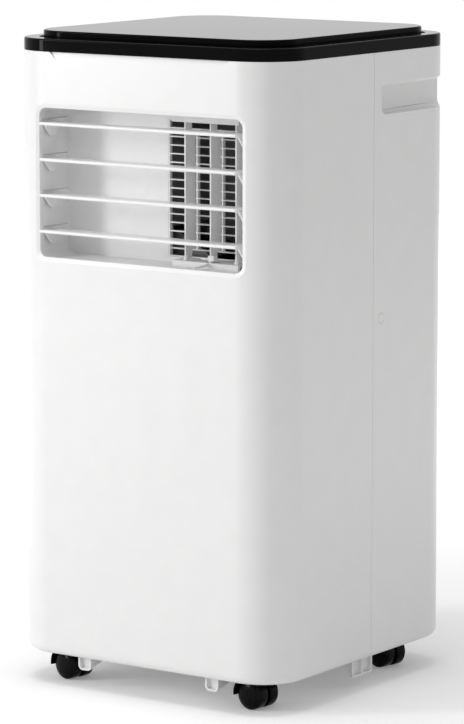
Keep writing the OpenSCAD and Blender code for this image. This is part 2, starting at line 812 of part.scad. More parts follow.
// Blade 0 is the lowest. Pivot pins at both ends, crank pin for the link on the right
module blade(i) {
    z = blade_z(i);
    under = z - 0.5;
    foot = z - lug_drop;
    crank_y = blade_y + crank;
    toe = [[yf + lug_start, under], [yf + lug_toe - 0.65 * lug_round, foot + 0.8 * lug_round],
        [yf + lug_toe, foot + 0.2 * lug_round], [yf + lug_toe + lug_round, foot]];
    left_lug = concat(toe, [[yf + lug_end - lug_round, foot], [yf + lug_end, foot + lug_round],
        [yf + blade_chord, under]]);
    right_lug = concat(toe, [[crank_y + 3, foot], [crank_y + 3, z - 3], [blade_y + 7, under]]);
    color(white) {
        difference() {
            along_x(blade_left, blade_right) {
                translate([yf + blade_t / 2, z]) circle(blade_t / 2);
                polygon([[yf + blade_t / 2, z - blade_t / 2], [yf + blade_t / 2, z + blade_t / 2],
                    [yf + blade_chord, z + blade_tail_t / 2], [yf + blade_chord, z - blade_tail_t / 2]]);
            }
            // notch that clears the link
            box([link_x - 1.2, blade_y + 2, z - 5], [blade_right - lug_t, duct_back, z + 5]);
            box([blade_right - lug_t - 0.01, blade_y + 7, z - 5], [blade_right + 1, duct_back, z + 5]);
        }
        along_x(blade_left, blade_left + lug_t) polygon(left_lug);
        along_x(blade_right - lug_t, blade_right) polygon(right_lug);
        rod_x(-duct_side - duct_wall, blade_left + 0.5, blade_y, z - blade_drop, pin_r);
        rod_x(blade_right - 0.5, duct_side + duct_wall, blade_y, z - blade_drop, pin_r);
        rod_x(link_x, blade_right - lug_t + 0.5, crank_y, z - blade_drop, crank_pin_r);
    }
}

module louvre_blade_1() blade(0);
module louvre_blade_2() blade(1);
module louvre_blade_3() blade(2);
module louvre_blade_4() blade(3);

module blade_link() {
    z0 = blade_z(0) - blade_drop;
    z1 = blade_z(blades - 1) - blade_drop;
    color(white) difference() {
        union() {
            box([link_x, blade_y + crank - 2.5, z0], [link_x + link_t, blade_y + crank + 2.5, z1]);
            for (z = [z0, z1]) rod_x(link_x, link_x + link_t, blade_y + crank, z, 2.5);
        }
        for (i = [0:blades - 1])
            rod_x(link_x - 1, link_x + 3, blade_y + crank, blade_z(i) - blade_drop, crank_pin_r + fit);
    }
}

module vane(i) {
    x = vane_x(i);
    y0 = vane_y - vane_nose;
    y1 = y0 + vane_chord;
    z0 = rail_top + vane_foot;
    z1 = top_rail_z - gap;
    color(white) {
        along_x(x - vane_t / 2, x + vane_t / 2) difference() {
            translate([y0, z0]) square([vane_chord, z1 - z0]);
            // notches in the rear corners, rounded inside
            for (z = [z0 - vane_cut_h, z1 - vane_cut_h]) translate([y1 - vane_cut, z]) {
                translate([vane_cut_r, 0]) square([vane_cut, 2 * vane_cut_h]);
                translate([0, vane_cut_r]) square([vane_cut, 2 * (vane_cut_h - vane_cut_r)]);
                for (h = [vane_cut_r, 2 * vane_cut_h - vane_cut_r])
                    translate([vane_cut_r, h]) circle(vane_cut_r);
            }
        }
        translate([x, vane_y, rail_top + gap])
            cylinder(h = vane_boss_h, r1 = pin_r + 1.1, r2 = vane_t / 2);
        rod_z(vane_crank_z, z0, x, vane_y, pin_r);
        rod_z(z1 - 1, top_rail_z + 4, x, vane_y, pin_r);
        // crank under the rail
        box([x - 1.5, vane_y, vane_crank_z], [x + 1.5, vane_y + vane_arm, vane_crank_z + vane_link_t]);
        rod_z(vane_crank_z, vane_crank_z + vane_link_t, x, vane_y + vane_arm, 2);
        rod_z(vane_link_z, vane_crank_z + 0.5, x, vane_y + vane_arm, crank_pin_r);
        // finger tab of the middle vane
        if (i == 1) {
            box([x + tab_shift - 3.4, y0 - 2.4, z0 + tab_z - 0.8],
                [x + tab_shift + 3.4, y0 + 4.4, z0 + tab_z + 4.4]);
            box([x - 12, y0 - 1.4, z0 + tab_z], [x, y0 + 2.6, z0 + tab_z + 1.8]);
        }
    }
}

module vane_1() vane(0);
module vane_2() vane(1);
module vane_3() vane(2);

module vane_link() {
    y = vane_y + vane_arm;
    z = vane_link_z;
    color(white) difference() {
        union() {
            box([vane_x(0), y - 2.5, z], [vane_x(vanes - 1), y + 2.5, z + vane_link_t]);
            for (i = [0, vanes - 1]) rod_z(z, z + vane_link_t, vane_x(i), y, 2.5);
        }
        for (i = [0:vanes - 1]) rod_z(z - 1, z + vane_link_t + 1, vane_x(i), y, crank_pin_r + fit);
    }
}

// ---------------------------------------------------------------- air handling

// Spiral of a blower's casing, round its centre, with the discharge going up on the right
module scroll_outline(r0, r1, start, left, up, g) {
    polygon(concat([[0, 0]], [for (a = [start:10:360])
        (r0 + (r1 - r0) * (a - start) / (360 - start) + g) * [cos(a), sin(a)]]));
    circle(r0 + g);
    translate([left - g, 0]) square([r1 - left + 2 * g, up + g]);
}

module evaporator_scroll(g) {
    translate([evap_x, evap_z]) scroll_outline(evap_wheel_r + 6, scroll_right - evap_x, 80,
        -evap_x - 0.4, scroll_top - evap_z, g);
}

module evaporator_blower_housing() {
    color(inner_white) difference() {
        union() {
            along_y(scroll_y0, scroll_y1) evaporator_scroll(case_t);
            for (x = [evap_x - 50, evap_x + 50])
                box([x - 6, scroll_y0, deck_low + deck_t], [x + 6, scroll_y1, evap_z - 80]);
        }
        along_y(scroll_y0 + case_t, scroll_y1 - case_t) evaporator_scroll(0);
        along_y(scroll_y0 - 1, scroll_y0 + case_t + 1) {
            translate([2, guard_z]) square([guard_w - 4, guard_h]);
            translate([evap_x, evap_z]) circle(hub_r + 2);
        }
        along_y(scroll_y1 - case_t - 1, scroll_y1 + 1)
            translate([evap_x, evap_z]) circle(evap_wheel_r - 14);
    }
}

// Forward-curved blower wheel between y0 and y1, with its shaft running to ys
module blower_wheel(x, z, r, y0, y1, ys) {
    n = fan_blades;
    translate([x, y0, z]) rotate([-90, 0, 0]) {
        cylinder(h = 2, r = r);
        cylinder(h = 14, r = hub_r);
        for (k = [0:n - 1]) rotate([0, 0, 360 * k / n]) translate([r - 5, 0, 1.9]) rotate([0, 0, 35])
            translate([-6, -0.6, 0]) cube([12, 1.2, y1 - y0 - 3.8]);
        translate([0, 0, y1 - y0 - 2]) difference() {
            cylinder(h = 2, r = r);
            translate([0, 0, -1]) cylinder(h = 4, r = r - 11);
        }
    }
    rod_y(ys, y0 + 1, x, z, shaft_r);
}

module blower_motor(x, z, r, y0, y1) {
    difference() {
        union() {
            rod_y(y0, y1 - 6, x, z, r);
            rod_y(y1 - 6, y1, x, z, r - 10);
            for (a = [45:90:315]) translate([x, y1 - 6, z]) rotate([0, a, 0]) rod_y(0, 6, r - 4, 0, 4);
            rod_y(y0 - 3, y0, x, z, 12);
        }
        rod_y(y0 + 6, y1 + 1, x, z, shaft_r + fit);
    }
}

module evaporator_blower_wheel() {
    color([0.2, 0.2, 0.22])
        blower_wheel(evap_x, evap_z, evap_wheel_r, scroll_y0 + 8, scroll_y1 - 8, scroll_y0 - 20);
}

module evaporator_motor() {
    color(steel) blower_motor(evap_x, evap_z, 36, yf + wall + 6, scroll_y0);
}

module condenser_outline(g) {
    translate([cond_x, cond_z]) {
        circle(duct2_half + g);
        translate([-duct2_half - g, 0]) square([2 * (duct2_half + g), port_z - cond_z]);
    }
}

module condenser_blower_housing() {
    x0 = cond_x - duct2_half;
    x1 = cond_x + duct2_half;
    color(inner_white) difference() {
        union() {
            along_y(cond_y0, cond_y1) condenser_outline(case_t);
            box([x0 - case_t, cond_y0, duct2_z - case_t], [x1 + case_t, yb - port_len, deck_high]);
            for (x = [cond_x - 45, cond_x + 45])
                box([x - 6, cond_y0, pan_z + pan_t], [x + 6, cond_y1, cond_z - 50]);
        }
        along_y(cond_y0 + case_t, cond_y1 - case_t) condenser_outline(0);
        box([x0, cond_y0 + case_t, duct2_z], [x1, yb - port_len - case_t, deck_high - case_t]);
        rod_y(cond_y0 - 1, cond_y0 + case_t + 1, cond_x, cond_z, hub_r + 2);
        rod_y(cond_y1 - case_t - 1, cond_y1 + 1, cond_x, cond_z, cond_wheel_r - 10);
        rod_y(yb - port_len - case_t - 1, yb - port_len + 1, port_x, port_z, port_r + port_wall / 2);
    }
}

module condenser_blower_wheel() {
    color([0.2, 0.2, 0.22])
        blower_wheel(cond_x, cond_z, cond_wheel_r, cond_y0 + 8, cond_y1 - 8, cond_y0 - 20);
}

module condenser_motor() {
    color(steel) blower_motor(cond_x, cond_z, 34, cond_y0 - 46, cond_y0);
}

// Finned coil standing between z0 and z1, with return bends on its right end
module finned_coil(w, z0, z1, y0, rows) {
    pitch = 5;
    n = floor((w - 8) / pitch);
    x0 = -n * pitch / 2;
    translate([0, y0, 0]) {
        translate([0, 0, z0]) linear_extrude(height = z1 - z0) polygon(concat(
            [for (k = [0:n - 1]) each [[x0 + k * pitch, 0], [x0 + k * pitch + 3, 0],
                [x0 + k * pitch + 3, 3], [x0 + (k + 1) * pitch, 3]]],
            [[x0 + n * pitch, coil_t - 3]],
            [for (k = [n - 1:-1:0]) each [[x0 + k * pitch + 3, coil_t - 3], [x0 + k * pitch + 3, coil_t],
                [x0 + k * pitch, coil_t], [x0 + k * pitch, coil_t - 3]]]));
        for (mx = [-1, 1]) box([mx * w / 2 - 1, 0, z0], [mx * w / 2 + 1, coil_t, z1]);
        for (mx = [-1, 1]) box([mx * w / 2 - (mx > 0 ? w / 2 - abs(x0) : 0), 4, z0],
            [mx * w / 2 + (mx > 0 ? 0 : w / 2 - abs(x0)), coil_t - 4, z1]);
        for (k = [0:rows - 1]) translate([w / 2, coil_t / 2, z0 + (z1 - z0) * (k + 0.5) / rows])
            rotate([90, 0, 0]) rotate([0, 0, -90]) rotate_extrude(angle = 180)
                translate([8, 0]) circle(pipe_r - 0.5);
    }
}

module evaporator_coil() {
    color(fin) finned_coil(coil_w, deck_high + deck_t, evap_top, evap_coil_y, 8);
}

module condenser_coil() {
    color(fin) finned_coil(cond_coil_w, pan_z + pan_t, cond_top, cond_coil_y, 5);
}

// Rear intake panel with horizontal slots between two posts each
module intake_panel(z0, h) {
    cols = 5;
    slot_w = (intake_w - 20) / cols - 4;
    rows = floor((h - 16) / 9);
    along_y(yb - panel_t, yb) difference() {
        translate([0, z0 + h / 2]) round_rect(intake_w - 2 * seat, h - 2 * seat, intake_r - seat);
        for (i = [0:cols - 1], k = [0:rows - 1])
            translate([(i - (cols - 1) / 2) * (slot_w + 4) - slot_w / 2,
                z0 + h / 2 + (k - (rows - 1) / 2) * 9 - 2.5]) square([slot_w, 5]);
    }
}

module rear_grille_upper() {
    color(white) intake_panel(intake_z, intake_h);
}

module rear_grille_lower() {
    color(white) intake_panel(intake2_z, intake2_h);
}

module filter_screen() {
    color([0.25, 0.27, 0.3]) translate([0, 0, intake_z]) {
        along_y(yb - panel_t - filter_t, yb - panel_t) difference() {
            translate([0, intake_h / 2]) round_rect(intake_w - 4, intake_h - 4, intake_r - 2);
            for (mx = [-1, 1], k = [0:3])
                translate([mx * (intake_w - 4) / 4, intake_h / 2 + (k - 1.5) * (intake_h - 12) / 4])
                    square([(intake_w - 4) / 2 - 8, (intake_h - 12) / 4 - 4], center = true);
        }
        box([-intake_w / 2 + 5, yb - panel_t - filter_t, 5],
            [intake_w / 2 - 5, yb - panel_t - filter_t + 0.8, intake_h - 5]);
    }
}

module exhaust_collar() {
    color(inner_white) {
        along_y(yb - port_len, yb) translate([port_x, port_z]) difference() {
            circle(port_r + port_wall);
            circle(port_r);
        }
        along_y(ihd - 3, ihd) translate([port_x, port_z]) difference() {
            circle(port_r + port_wall + port_flange);
            circle(port_r + port_wall - 0.5);
        }
    }
}

// ---------------------------------------------------------------- refrigeration

// Upright can with rounded ends
module can(r, h, s) {
    rotate_extrude() {
        square([r - s, h]);
        translate([0, s]) square([r, h - 2 * s]);
        for (z = [s, h - s]) translate([r - s, z]) circle(s);
    }
}

// Pipe of radius r through the points, with ball corners; each run is along an axis
module pipe(points, r) {
    for (i = [0:len(points) - 2]) {
        a = points[i];
        d = points[i + 1] - a;
        translate(a) {
            if (d[0] != 0) rotate([0, d[0] > 0 ? 90 : -90, 0]) cylinder(h = abs(d[0]), r = r);
            if (d[1] != 0) rotate([d[1] > 0 ? -90 : 90, 0, 0]) cylinder(h = abs(d[1]), r = r);
            if (d[2] != 0) mirror([0, 0, d[2] > 0 ? 0 : 1]) cylinder(h = abs(d[2]), r = r);
            if (i > 0) sphere(r = r);
        }
    }
}

module compressor() {
    color([0.12, 0.12, 0.13]) {
        translate([comp_x, comp_y, comp_z]) can(comp_r, comp_h, 12);
        rod_z(comp_z + comp_h - 1, comp_z + comp_h + 5, comp_x - lid_r, comp_y, lid_r);
        difference() {
            for (a = comp_feet_at) translate([comp_x, comp_y, comp_foot_z]) rotate([0, 0, a])
                translate([0, -12, 0]) cube([comp_foot_r + 8, 24, comp_foot_t]);
            for (p = comp_feet) rod_z(comp_foot_z - 1, comp_foot_z + comp_foot_t + 1, p[0], p[1], 4 + fit);
        }
        rod_z(comp_foot_z, comp_z + 1, comp_x, comp_y, comp_r - 15);
    }
}

module accumulator() {
    color([0.12, 0.12, 0.13]) {
        translate([comp_x, accu_y, accu_z]) can(accu_r, accu_h, 10);
        for (z = [accu_z + 24, accu_z + accu_h - 34])
            box([comp_x - 6, comp_y + comp_r + seat, z], [comp_x + 6, accu_y, z + 10]);
    }
}

module compressor_grommets() {
    color([0.1, 0.1, 0.1]) for (p = comp_feet) difference() {
        union() {
            rod_z(comp_foot_z - grommet_h, comp_foot_z, p[0], p[1], boss_r);
            rod_z(comp_foot_z - 1, comp_foot_z + comp_foot_t + 2, p[0], p[1], 4);
        }
        rod_z(pan_z, comp_z + 20, p[0], p[1], stud_r + fit);
    }
}

module compressor_bolts() {
    color(steel) for (p = comp_feet) {
        rod_z(comp_foot_z - grommet_h, comp_foot_z + comp_foot_t + 9, p[0], p[1], stud_r);
        translate([p[0], p[1], comp_foot_z + comp_foot_t + 2]) cylinder(h = 5, r = 6, $fn = 6);
        rod_z(comp_foot_z + comp_foot_t + 2, comp_foot_z + comp_foot_t + 3, p[0], p[1], 6.5);
    }
}

module discharge_pipe() {
    z = deck_low - pipe_r - 3;
    color(copper) pipe([[comp_x + 24, comp_y, comp_z + comp_h], [comp_x + 24, comp_y, z],
        [riser_x, comp_y, z], [riser_x, cond_coil_y + 7, z], [riser_x, cond_coil_y + 7, cond_top - 12],
        [-cond_coil_w / 2 - 1, cond_coil_y + 7, cond_top - 12]], pipe_r);
}

module suction_pipe() {
    color(copper) pipe([[-coil_w / 2 - 1, suction_y, evap_low + 18], [suction_x, suction_y, evap_low + 18],
        [suction_x, suction_y, accu_z + accu_h + 24], [suction_x, accu_y, accu_z + accu_h + 24],
        [comp_x, accu_y, accu_z + accu_h + 24], [comp_x, accu_y, accu_z + accu_h]], pipe_r);
}

module capillary_tube() {
    ring_y = cap_tube_y - cap_ring_r;
    z0 = pan_z + socket_h + 4;
    color(copper) {
        pipe([[-cond_coil_w / 2 - 1, cap_tube_y, z0], [cap_tube_x, cap_tube_y, z0],
            [cap_tube_x, cap_tube_y, evap_low + 30],
            [-coil_w / 2 - 1, cap_tube_y, evap_low + 30]], cap_tube_r);
        for (k = [0:3]) translate([cap_tube_x, ring_y, cond_top - 60 + k * 2.2 * cap_tube_r])
            rotate_extrude() translate([cap_ring_r, 0]) circle(cap_tube_r);
    }
}

// ---------------------------------------------------------------- electrics

module control_box() {
    color(inner_white) {
        difference() {
            box([ctrl_x0, ctrl_y0, ctrl_z0], [ctrl_x1, ctrl_y1, ctrl_z1]);
            box([ctrl_x0 + 2, ctrl_y0 + 2, ctrl_z0 + 2], [ctrl_x1 - 2, ctrl_y1 + 1, ctrl_z1 - 2]);
        }
        for (x = [ctrl_x0 + 8, ctrl_x1 - 8], z = [ctrl_z0 + 10, ctrl_z1 - 10])
            rod_y(ctrl_y0 + 1, ctrl_y0 + 8, x, z, 3);
    }
}

module control_board() {
    y = ctrl_y0 + 8;
    color([0.1, 0.35, 0.2]) box([ctrl_x0 + 4, y, ctrl_z0 + 5], [ctrl_x1 - 4, y + board_t, ctrl_z1 - 5]);
    color([0.15, 0.15, 0.16]) for (b = [[62, 20, 26, 22, 18], [92, 22, 16, 16, 15], [112, 22, 14, 16, 15],
        [62, 56, 30, 16, 12], [100, 46, 22, 28, 10]])
        box([ctrl_x0 + b[0], y + board_t - 0.1, ctrl_z0 + b[1]],
            [ctrl_x0 + b[0] + b[2], y + b[4], ctrl_z0 + b[1] + b[3]]);
}

module run_capacitor() {
    color(steel) translate([ctrl_x0 + 28, ctrl_y1 - capacitor_r - 4, ctrl_z0 + 2]) {
        can(capacitor_r, capacitor_h, 3);
        for (m = [-1, 1])
            box([m * 7 - 2, -0.4, capacitor_h - 1], [m * 7 + 2, 0.4, capacitor_h + 8]);
    }
}

module cord_inlet() {
    color(black) difference() {
        union() {
            rod_y(ihd - 8, yb, inlet_x, inlet_z, inlet_r);
            rod_y(ihd - 3, ihd, inlet_x, inlet_z, inlet_r + 3);
        }
        rod_y(ihd - 9, yb + 1, inlet_x, inlet_z, inlet_r - 5);
    }
}

module drain_cap(p) {
    color(black) {
        rod_y(yb - drain_head_t + 0.05, yb, p[0], p[1], drain_head_r);
        rod_y(yb - drain_head_t - 10, yb - 0.5, p[0], p[1], drain_r);
    }
}

module drain_cap_lower() drain_cap(drains[0]);
module drain_cap_upper() drain_cap(drains[1]);

// ---------------------------------------------------------------- fasteners

module screw_caps() {
    color(white) both_sides() rod_x(body_w / 2 - cap_t, body_w / 2, cap_y, cap_z, cap_r);
}

module shell_screws() {
    color(steel) {
        both_sides() {
            rod_x(body_w / 2 - cup_depth, body_w / 2 - cup_depth + 2.2, cap_y, cap_z, screw_head_r);
            rod_x(body_w / 2 - cup_depth - 6 - seat - tab_t, body_w / 2 - cup_depth, cap_y, cap_z, screw_r);
        }
        for (mx = [-1, 1], my = [-1, 1]) {
            rod_z(post_top - 5.4, post_top - 3, mx * post_x, my * post_y, screw_head_r);
            rod_z(post_top - 4, post_top + lug_h + 2, mx * post_x, my * post_y, screw_r);
        }
    }
}

// ---------------------------------------------------------------- the assembly

front_shell();
rear_shell();
top_rim();
top_plate();
display_board();
base_pan();
pan_feet();
mid_deck();
louvre_frame();
outlet_guard();
vane_rail_lower();
vane_rail_upper();
louvre_blade_1();
louvre_blade_2();
louvre_blade_3();
louvre_blade_4();
blade_link();
vane_1();
vane_2();
vane_3();
vane_link();
caster_hood_fl();
caster_hood_fr();
caster_hood_rl();
caster_hood_rr();
caster_wheels_fl();
caster_wheels_fr();
caster_wheels_rl();
caster_wheels_rr();
evaporator_blower_housing();
evaporator_blower_wheel();
evaporator_motor();
evaporator_coil();
condenser_blower_housing();
condenser_blower_wheel();
condenser_motor();
condenser_coil();
compressor();
accumulator();
compressor_grommets();
compressor_bolts();
discharge_pipe();
suction_pipe();
capillary_tube();
control_box();
control_board();
run_capacitor();
cord_inlet();
exhaust_collar();
rear_grille_upper();
rear_grille_lower();
filter_screen();
drain_cap_lower();
drain_cap_upper();
screw_caps();
shell_screws();
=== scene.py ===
"""Portable air conditioner: shells, top cover, louvred outlet, casters, inner works and finishes."""

import json
import math

import bmesh
import bpy
from bpy.props import FloatProperty, FloatVectorProperty, IntProperty, PointerProperty
from mathutils import Matrix, Vector

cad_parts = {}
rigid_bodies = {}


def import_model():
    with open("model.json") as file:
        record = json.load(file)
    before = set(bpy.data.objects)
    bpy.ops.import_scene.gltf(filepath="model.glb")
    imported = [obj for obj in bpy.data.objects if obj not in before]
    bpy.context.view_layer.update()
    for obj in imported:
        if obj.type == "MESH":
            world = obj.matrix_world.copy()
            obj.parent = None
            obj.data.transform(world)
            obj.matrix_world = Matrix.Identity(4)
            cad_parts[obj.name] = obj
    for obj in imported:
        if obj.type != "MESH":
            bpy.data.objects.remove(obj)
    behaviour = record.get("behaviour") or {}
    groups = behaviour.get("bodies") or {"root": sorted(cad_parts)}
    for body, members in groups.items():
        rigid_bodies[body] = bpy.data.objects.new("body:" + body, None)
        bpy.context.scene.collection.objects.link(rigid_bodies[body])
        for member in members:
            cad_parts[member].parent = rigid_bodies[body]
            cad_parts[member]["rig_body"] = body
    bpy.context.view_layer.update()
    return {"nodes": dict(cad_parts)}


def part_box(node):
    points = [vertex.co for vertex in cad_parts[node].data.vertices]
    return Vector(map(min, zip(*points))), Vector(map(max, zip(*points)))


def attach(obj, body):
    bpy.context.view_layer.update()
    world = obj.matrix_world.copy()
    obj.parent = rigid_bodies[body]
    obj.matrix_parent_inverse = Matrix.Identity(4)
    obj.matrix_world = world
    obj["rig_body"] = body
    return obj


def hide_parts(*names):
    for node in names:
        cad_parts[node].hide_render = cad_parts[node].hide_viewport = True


bl_info = {
    "name": "Portable Air Conditioner",
    "version": (1, 0, 0),
    "blender": (4, 5, 0),
    "location": "View3D > Sidebar > Air Conditioner",
    "description": "Dresses a portable air conditioner: shells, outlet, casters, finishes and studio",
    "category": "Object",
}

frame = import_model()
MM = 0.001
RUNNING_GAP = 0.3 * MM  # between pieces that turn on each other
TOUCH = 1e-5  # how near a point lies to a plane that it is on, in metres

# ---------------------------------------------------------------- places taken from the frame

front_low, front_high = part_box("front_shell")
rear_low, rear_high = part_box("rear_shell")
plate_low, plate_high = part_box("top_plate")
duct_low, duct_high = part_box("louvre_frame")
HALF_W = front_high.x
FRONT_Y = front_low.y
BACK_Y = rear_high.y
SEAM_Y = rear_low.y
SHELL_BOTTOM = front_low.z
SHELL_TOP = front_high.z
RIM_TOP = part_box("top_rim")[1].z


def all_nodes(prefix):
    """Names of the frame's nodes that start with a prefix, in order."""
    return sorted(name for name in frame["nodes"] if name.startswith(prefix))


def body_of_node(name):
    """Name of the body that a node rides on."""
    return frame["nodes"][name]["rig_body"]


def middle(name):
    """Middle of a frame node's box, as X, Y and Z."""
    return [(low + high) / 2 for low, high in zip(*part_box(name))]


# ---------------------------------------------------------------- sizes and colours a user would change


class CabinetSizes(bpy.types.PropertyGroup):
    """Sizes of the cabinet's modelled edges."""

    corner: FloatProperty(
        name="Corner radius", description="Radius of the cabinet's vertical corners",
        default=0.047, subtype="DISTANCE", unit="LENGTH")
    skirt: FloatProperty(
        name="Skirt radius", description="Fillet along the bottom edge of the shells",
        default=0.008, subtype="DISTANCE", unit="LENGTH")
    lip: FloatProperty(
        name="Outlet lip", description="Width of the sloped lip round the air outlet",
        default=0.0044, subtype="DISTANCE", unit="LENGTH")
    wall: FloatProperty(
        name="Wall", description="Thickness of the moulded shells",
        default=0.0024, subtype="DISTANCE", unit="LENGTH")
    edge: FloatProperty(
        name="Edge", description="Rounding of the shells' parting edges",
        default=0.00035, subtype="DISTANCE", unit="LENGTH")
    grip_edge: FloatProperty(
        name="Grip edge", description="Rounding of the handle recess's mouth",
        default=0.0009, subtype="DISTANCE", unit="LENGTH")
    top_edge: FloatProperty(
        name="Top edge", description="Rounding of the top cover's upper edges",
        default=0.0018, subtype="DISTANCE", unit="LENGTH")
    corner_steps: IntProperty(
        name="Corner steps", description="Faces round each vertical corner", default=32, min=8, max=96)


class Finishes(bpy.types.PropertyGroup):
    """Colours of the finishes."""

    shell: FloatVectorProperty(
        name="Shell", description="White of the shells", default=(0.87, 0.87, 0.866),
        subtype="COLOR", min=0.0, max=1.0)
    # The duct's white sits a little above the shell's, as painted light that lifts the shaded inside of
    # the outlet.
    duct: FloatVectorProperty(
        name="Duct", description="White of the air duct's parts", default=(0.9, 0.902, 0.9),
        subtype="COLOR", min=0.0, max=1.0)
    black: FloatVectorProperty(
        name="Black", description="Black of the top cover", default=(0.003, 0.003, 0.0033),
        subtype="COLOR", min=0.0, max=1.0)
    caster: FloatVectorProperty(
        name="Caster", description="Black of the casters", default=(0.003, 0.003, 0.0033),
        subtype="COLOR", min=0.0, max=1.0)
    copper: FloatVectorProperty(
        name="Copper", description="Copper of the pipes", default=(0.72, 0.36, 0.22),
        subtype="COLOR", min=0.0, max=1.0)


class StudioSettings(bpy.types.PropertyGroup):
    """Camera, lamps and surroundings."""

    azimuth: FloatProperty(
        name="Azimuth", description="How far the camera stands round to the right",
        default=math.radians(34.86), subtype="ANGLE", unit="ROTATION")
    elevation: FloatProperty(
        name="Elevation", description="How far the camera looks down",
        default=math.radians(8.75), subtype="ANGLE", unit="ROTATION")
    distance: FloatProperty(
        name="Distance", description="Distance from the camera to its target",
        default=3.791, subtype="DISTANCE", unit="LENGTH")
    lens: FloatProperty(
        name="Lens", description="Focal length on a 36 mm sensor, in millimetres",
        default=190.9, unit="CAMERA")
    target_z: FloatProperty(
        name="Target height", description="Height that the camera looks at",
        default=0.3098, subtype="DISTANCE", unit="LENGTH")
    target_side: FloatProperty(
        name="Target side", description="Sideways place of the camera's target",
        default=-0.0018, subtype="DISTANCE", unit="LENGTH")
    key_power: FloatProperty(
        name="Key power", description="Power of the tall lamp at the front left",
        default=33.0, unit="POWER")
    top_power: FloatProperty(
        name="Top power", description="Power of the square lamp overhead",
        default=22.0, unit="POWER")
    sky: FloatProperty(
        name="Sky", description="Strength of the even light from all round", default=0.485)


# ---------------------------------------------------------------- outlines


def rounded_rect(width, depth, radius, steps):
    """Points of a rounded rectangle round the origin, anticlockwise from the right side's lower end."""
    points = []
    for quarter in range(4):
        mid = math.radians(90 * quarter + 45)
        cx = math.copysign(width / 2 - radius, math.cos(mid))
        cy = math.copysign(depth / 2 - radius, math.sin(mid))
        for k in range(steps + 1):
            a = math.radians(90 * (quarter + k / steps))
            points.append((cx + radius * math.cos(a), cy + radius * math.sin(a)))
    return points


def arc(cx, cy, radius, start, end, steps):
    """Points on an arc, angles in degrees."""
    turn = [math.radians(start + (end - start) * k / steps) for k in range(steps + 1)]
    return [(cx + radius * math.cos(a), cy + radius * math.sin(a)) for a in turn]


def circle(cu, cv, radius):
    """Points on a circle, anticlockwise."""
    return arc(cu, cv, radius, 0, 360, 64)[:-1]


def moved(points, right, up):
    """Outline points moved right and up."""
    return [(u + right, v + up) for u, v in points]


def near(u, v, *steps):
    """Points at steps in millimetres from a point."""
    return [(u + du * MM, v + dv * MM) for du, dv in steps]


def once_round(steps):
    """Angles that go once round in even steps."""
    return [2 * math.pi * k / steps for k in range(steps)]


# ---------------------------------------------------------------- meshes


def new_object(name, bm, sharp=None):
    """Smooth object of a bmesh, which it frees, with its edges sharp from an angle in degrees."""
    bmesh.ops.recalc_face_normals(bm, faces=bm.faces)
    mesh = bpy.data.meshes.new(name)
    bm.to_mesh(mesh)
    bm.free()
    mesh.shade_smooth()
    if sharp:
        mesh.set_sharp_from_angle(angle=math.radians(sharp))
    made = bpy.data.objects.new(name, mesh)
    bpy.context.scene.collection.objects.link(made)
    return made


def skin(bm, low, high):
    """Adds the faces between two rings of vertices."""
    count = len(low)
    for k in range(count):
        bm.faces.new((low[k], low[(k + 1) % count], high[(k + 1) % count], high[k]))


def stack(bm, rings, hoop=False):
    """Skins a stack of closed rings, with a cap at both ends or closed to a hoop."""
    loops = [[bm.verts.new(p) for p in ring] for ring in rings]
    for low, high in zip(loops, loops[1:] + loops[:1] if hoop else loops[1:]):
        skin(bm, low, high)
    if not hoop:
        bm.faces.new(list(reversed(loops[0])))
        bm.faces.new(loops[-1])


def add_prism(bm, points, start, end, axis="X"):
    """Adds an outline extruded along X, where it is drawn in Y-Z, or along Y, drawn in X-Z."""
    place = {"X": lambda u, v, w: (w, u, v), "Y": lambda u, v, w: (u, w, v)}[axis]
    stack(bm, [[place(u, v, w) for u, v in points] for w in (start, end)])


def prism(points, start, end, axis="Y"):
    """Bmesh of an extruded outline, to cut with or to start a piece."""
    bm = bmesh.new()
    add_prism(bm, points, start, end, axis)
    return bm


def add_box(bm, low, high):
    """Adds a box between two corners."""
    (x0, y0, z0), (x1, y1, z1) = low, high
    stack(bm, [[(x0, y0, z), (x1, y0, z), (x1, y1, z), (x0, y1, z)] for z in (z0, z1)])


def box(low, high):
    """Bmesh of one box, to cut with."""
    bm = bmesh.new()
    add_box(bm, low, high)
    return bm


def add_turned(bm, profile, place, steps=40):
    """Adds a solid of revolution: radius and height pairs, placed by a function of x, y, height."""
    stack(bm, [[place(radius * math.cos(a), radius * math.sin(a), up) for a in once_round(steps)]
               for radius, up in profile])


def add_pin(bm, radius, start, end, place):
    """Adds a pin with softened ends."""
    soft = min(0.2 * MM, radius * 0.4)
    add_turned(bm, [(radius - soft, start), (radius, start + soft), (radius, end - soft),
                    (radius - soft, end)], place, 24)


def upright(x, y):
    """Place function for a solid turned round a vertical line."""
    return lambda u, v, w: (x + u, y + v, w)


def sideways(y, z):
    """Place function for a solid turned round a line along X."""
    return lambda u, v, w: (w, y + u, z + v)


def cut(target, tool, operation="DIFFERENCE"):
    """Cuts a bmesh or an object out of a piece, or applies another boolean with it."""
    if isinstance(tool, bmesh.types.BMesh):
        tool = new_object("cutter", tool)
    modifier = target.modifiers.new("cut", "BOOLEAN")
    modifier.object = tool
    modifier.operation = operation
    modifier.solver = "EXACT"
    bake_modifiers(target)
    bpy.data.objects.remove(tool)


def bake_modifiers(target):
    """Applies every modifier of an object to its mesh."""
    graph = bpy.context.evaluated_depsgraph_get()
    mesh = bpy.data.meshes.new_from_object(target.evaluated_get(graph), depsgraph=graph)
    target.modifiers.clear()
    old = target.data
    target.data = mesh
    bpy.data.meshes.remove(old)


def edit(target, change):
    """Runs a function on an object's mesh as a bmesh."""
    bm = bmesh.new()
    bm.from_mesh(target.data)
    change(bm)
    bm.to_mesh(target.data)
    bm.free()


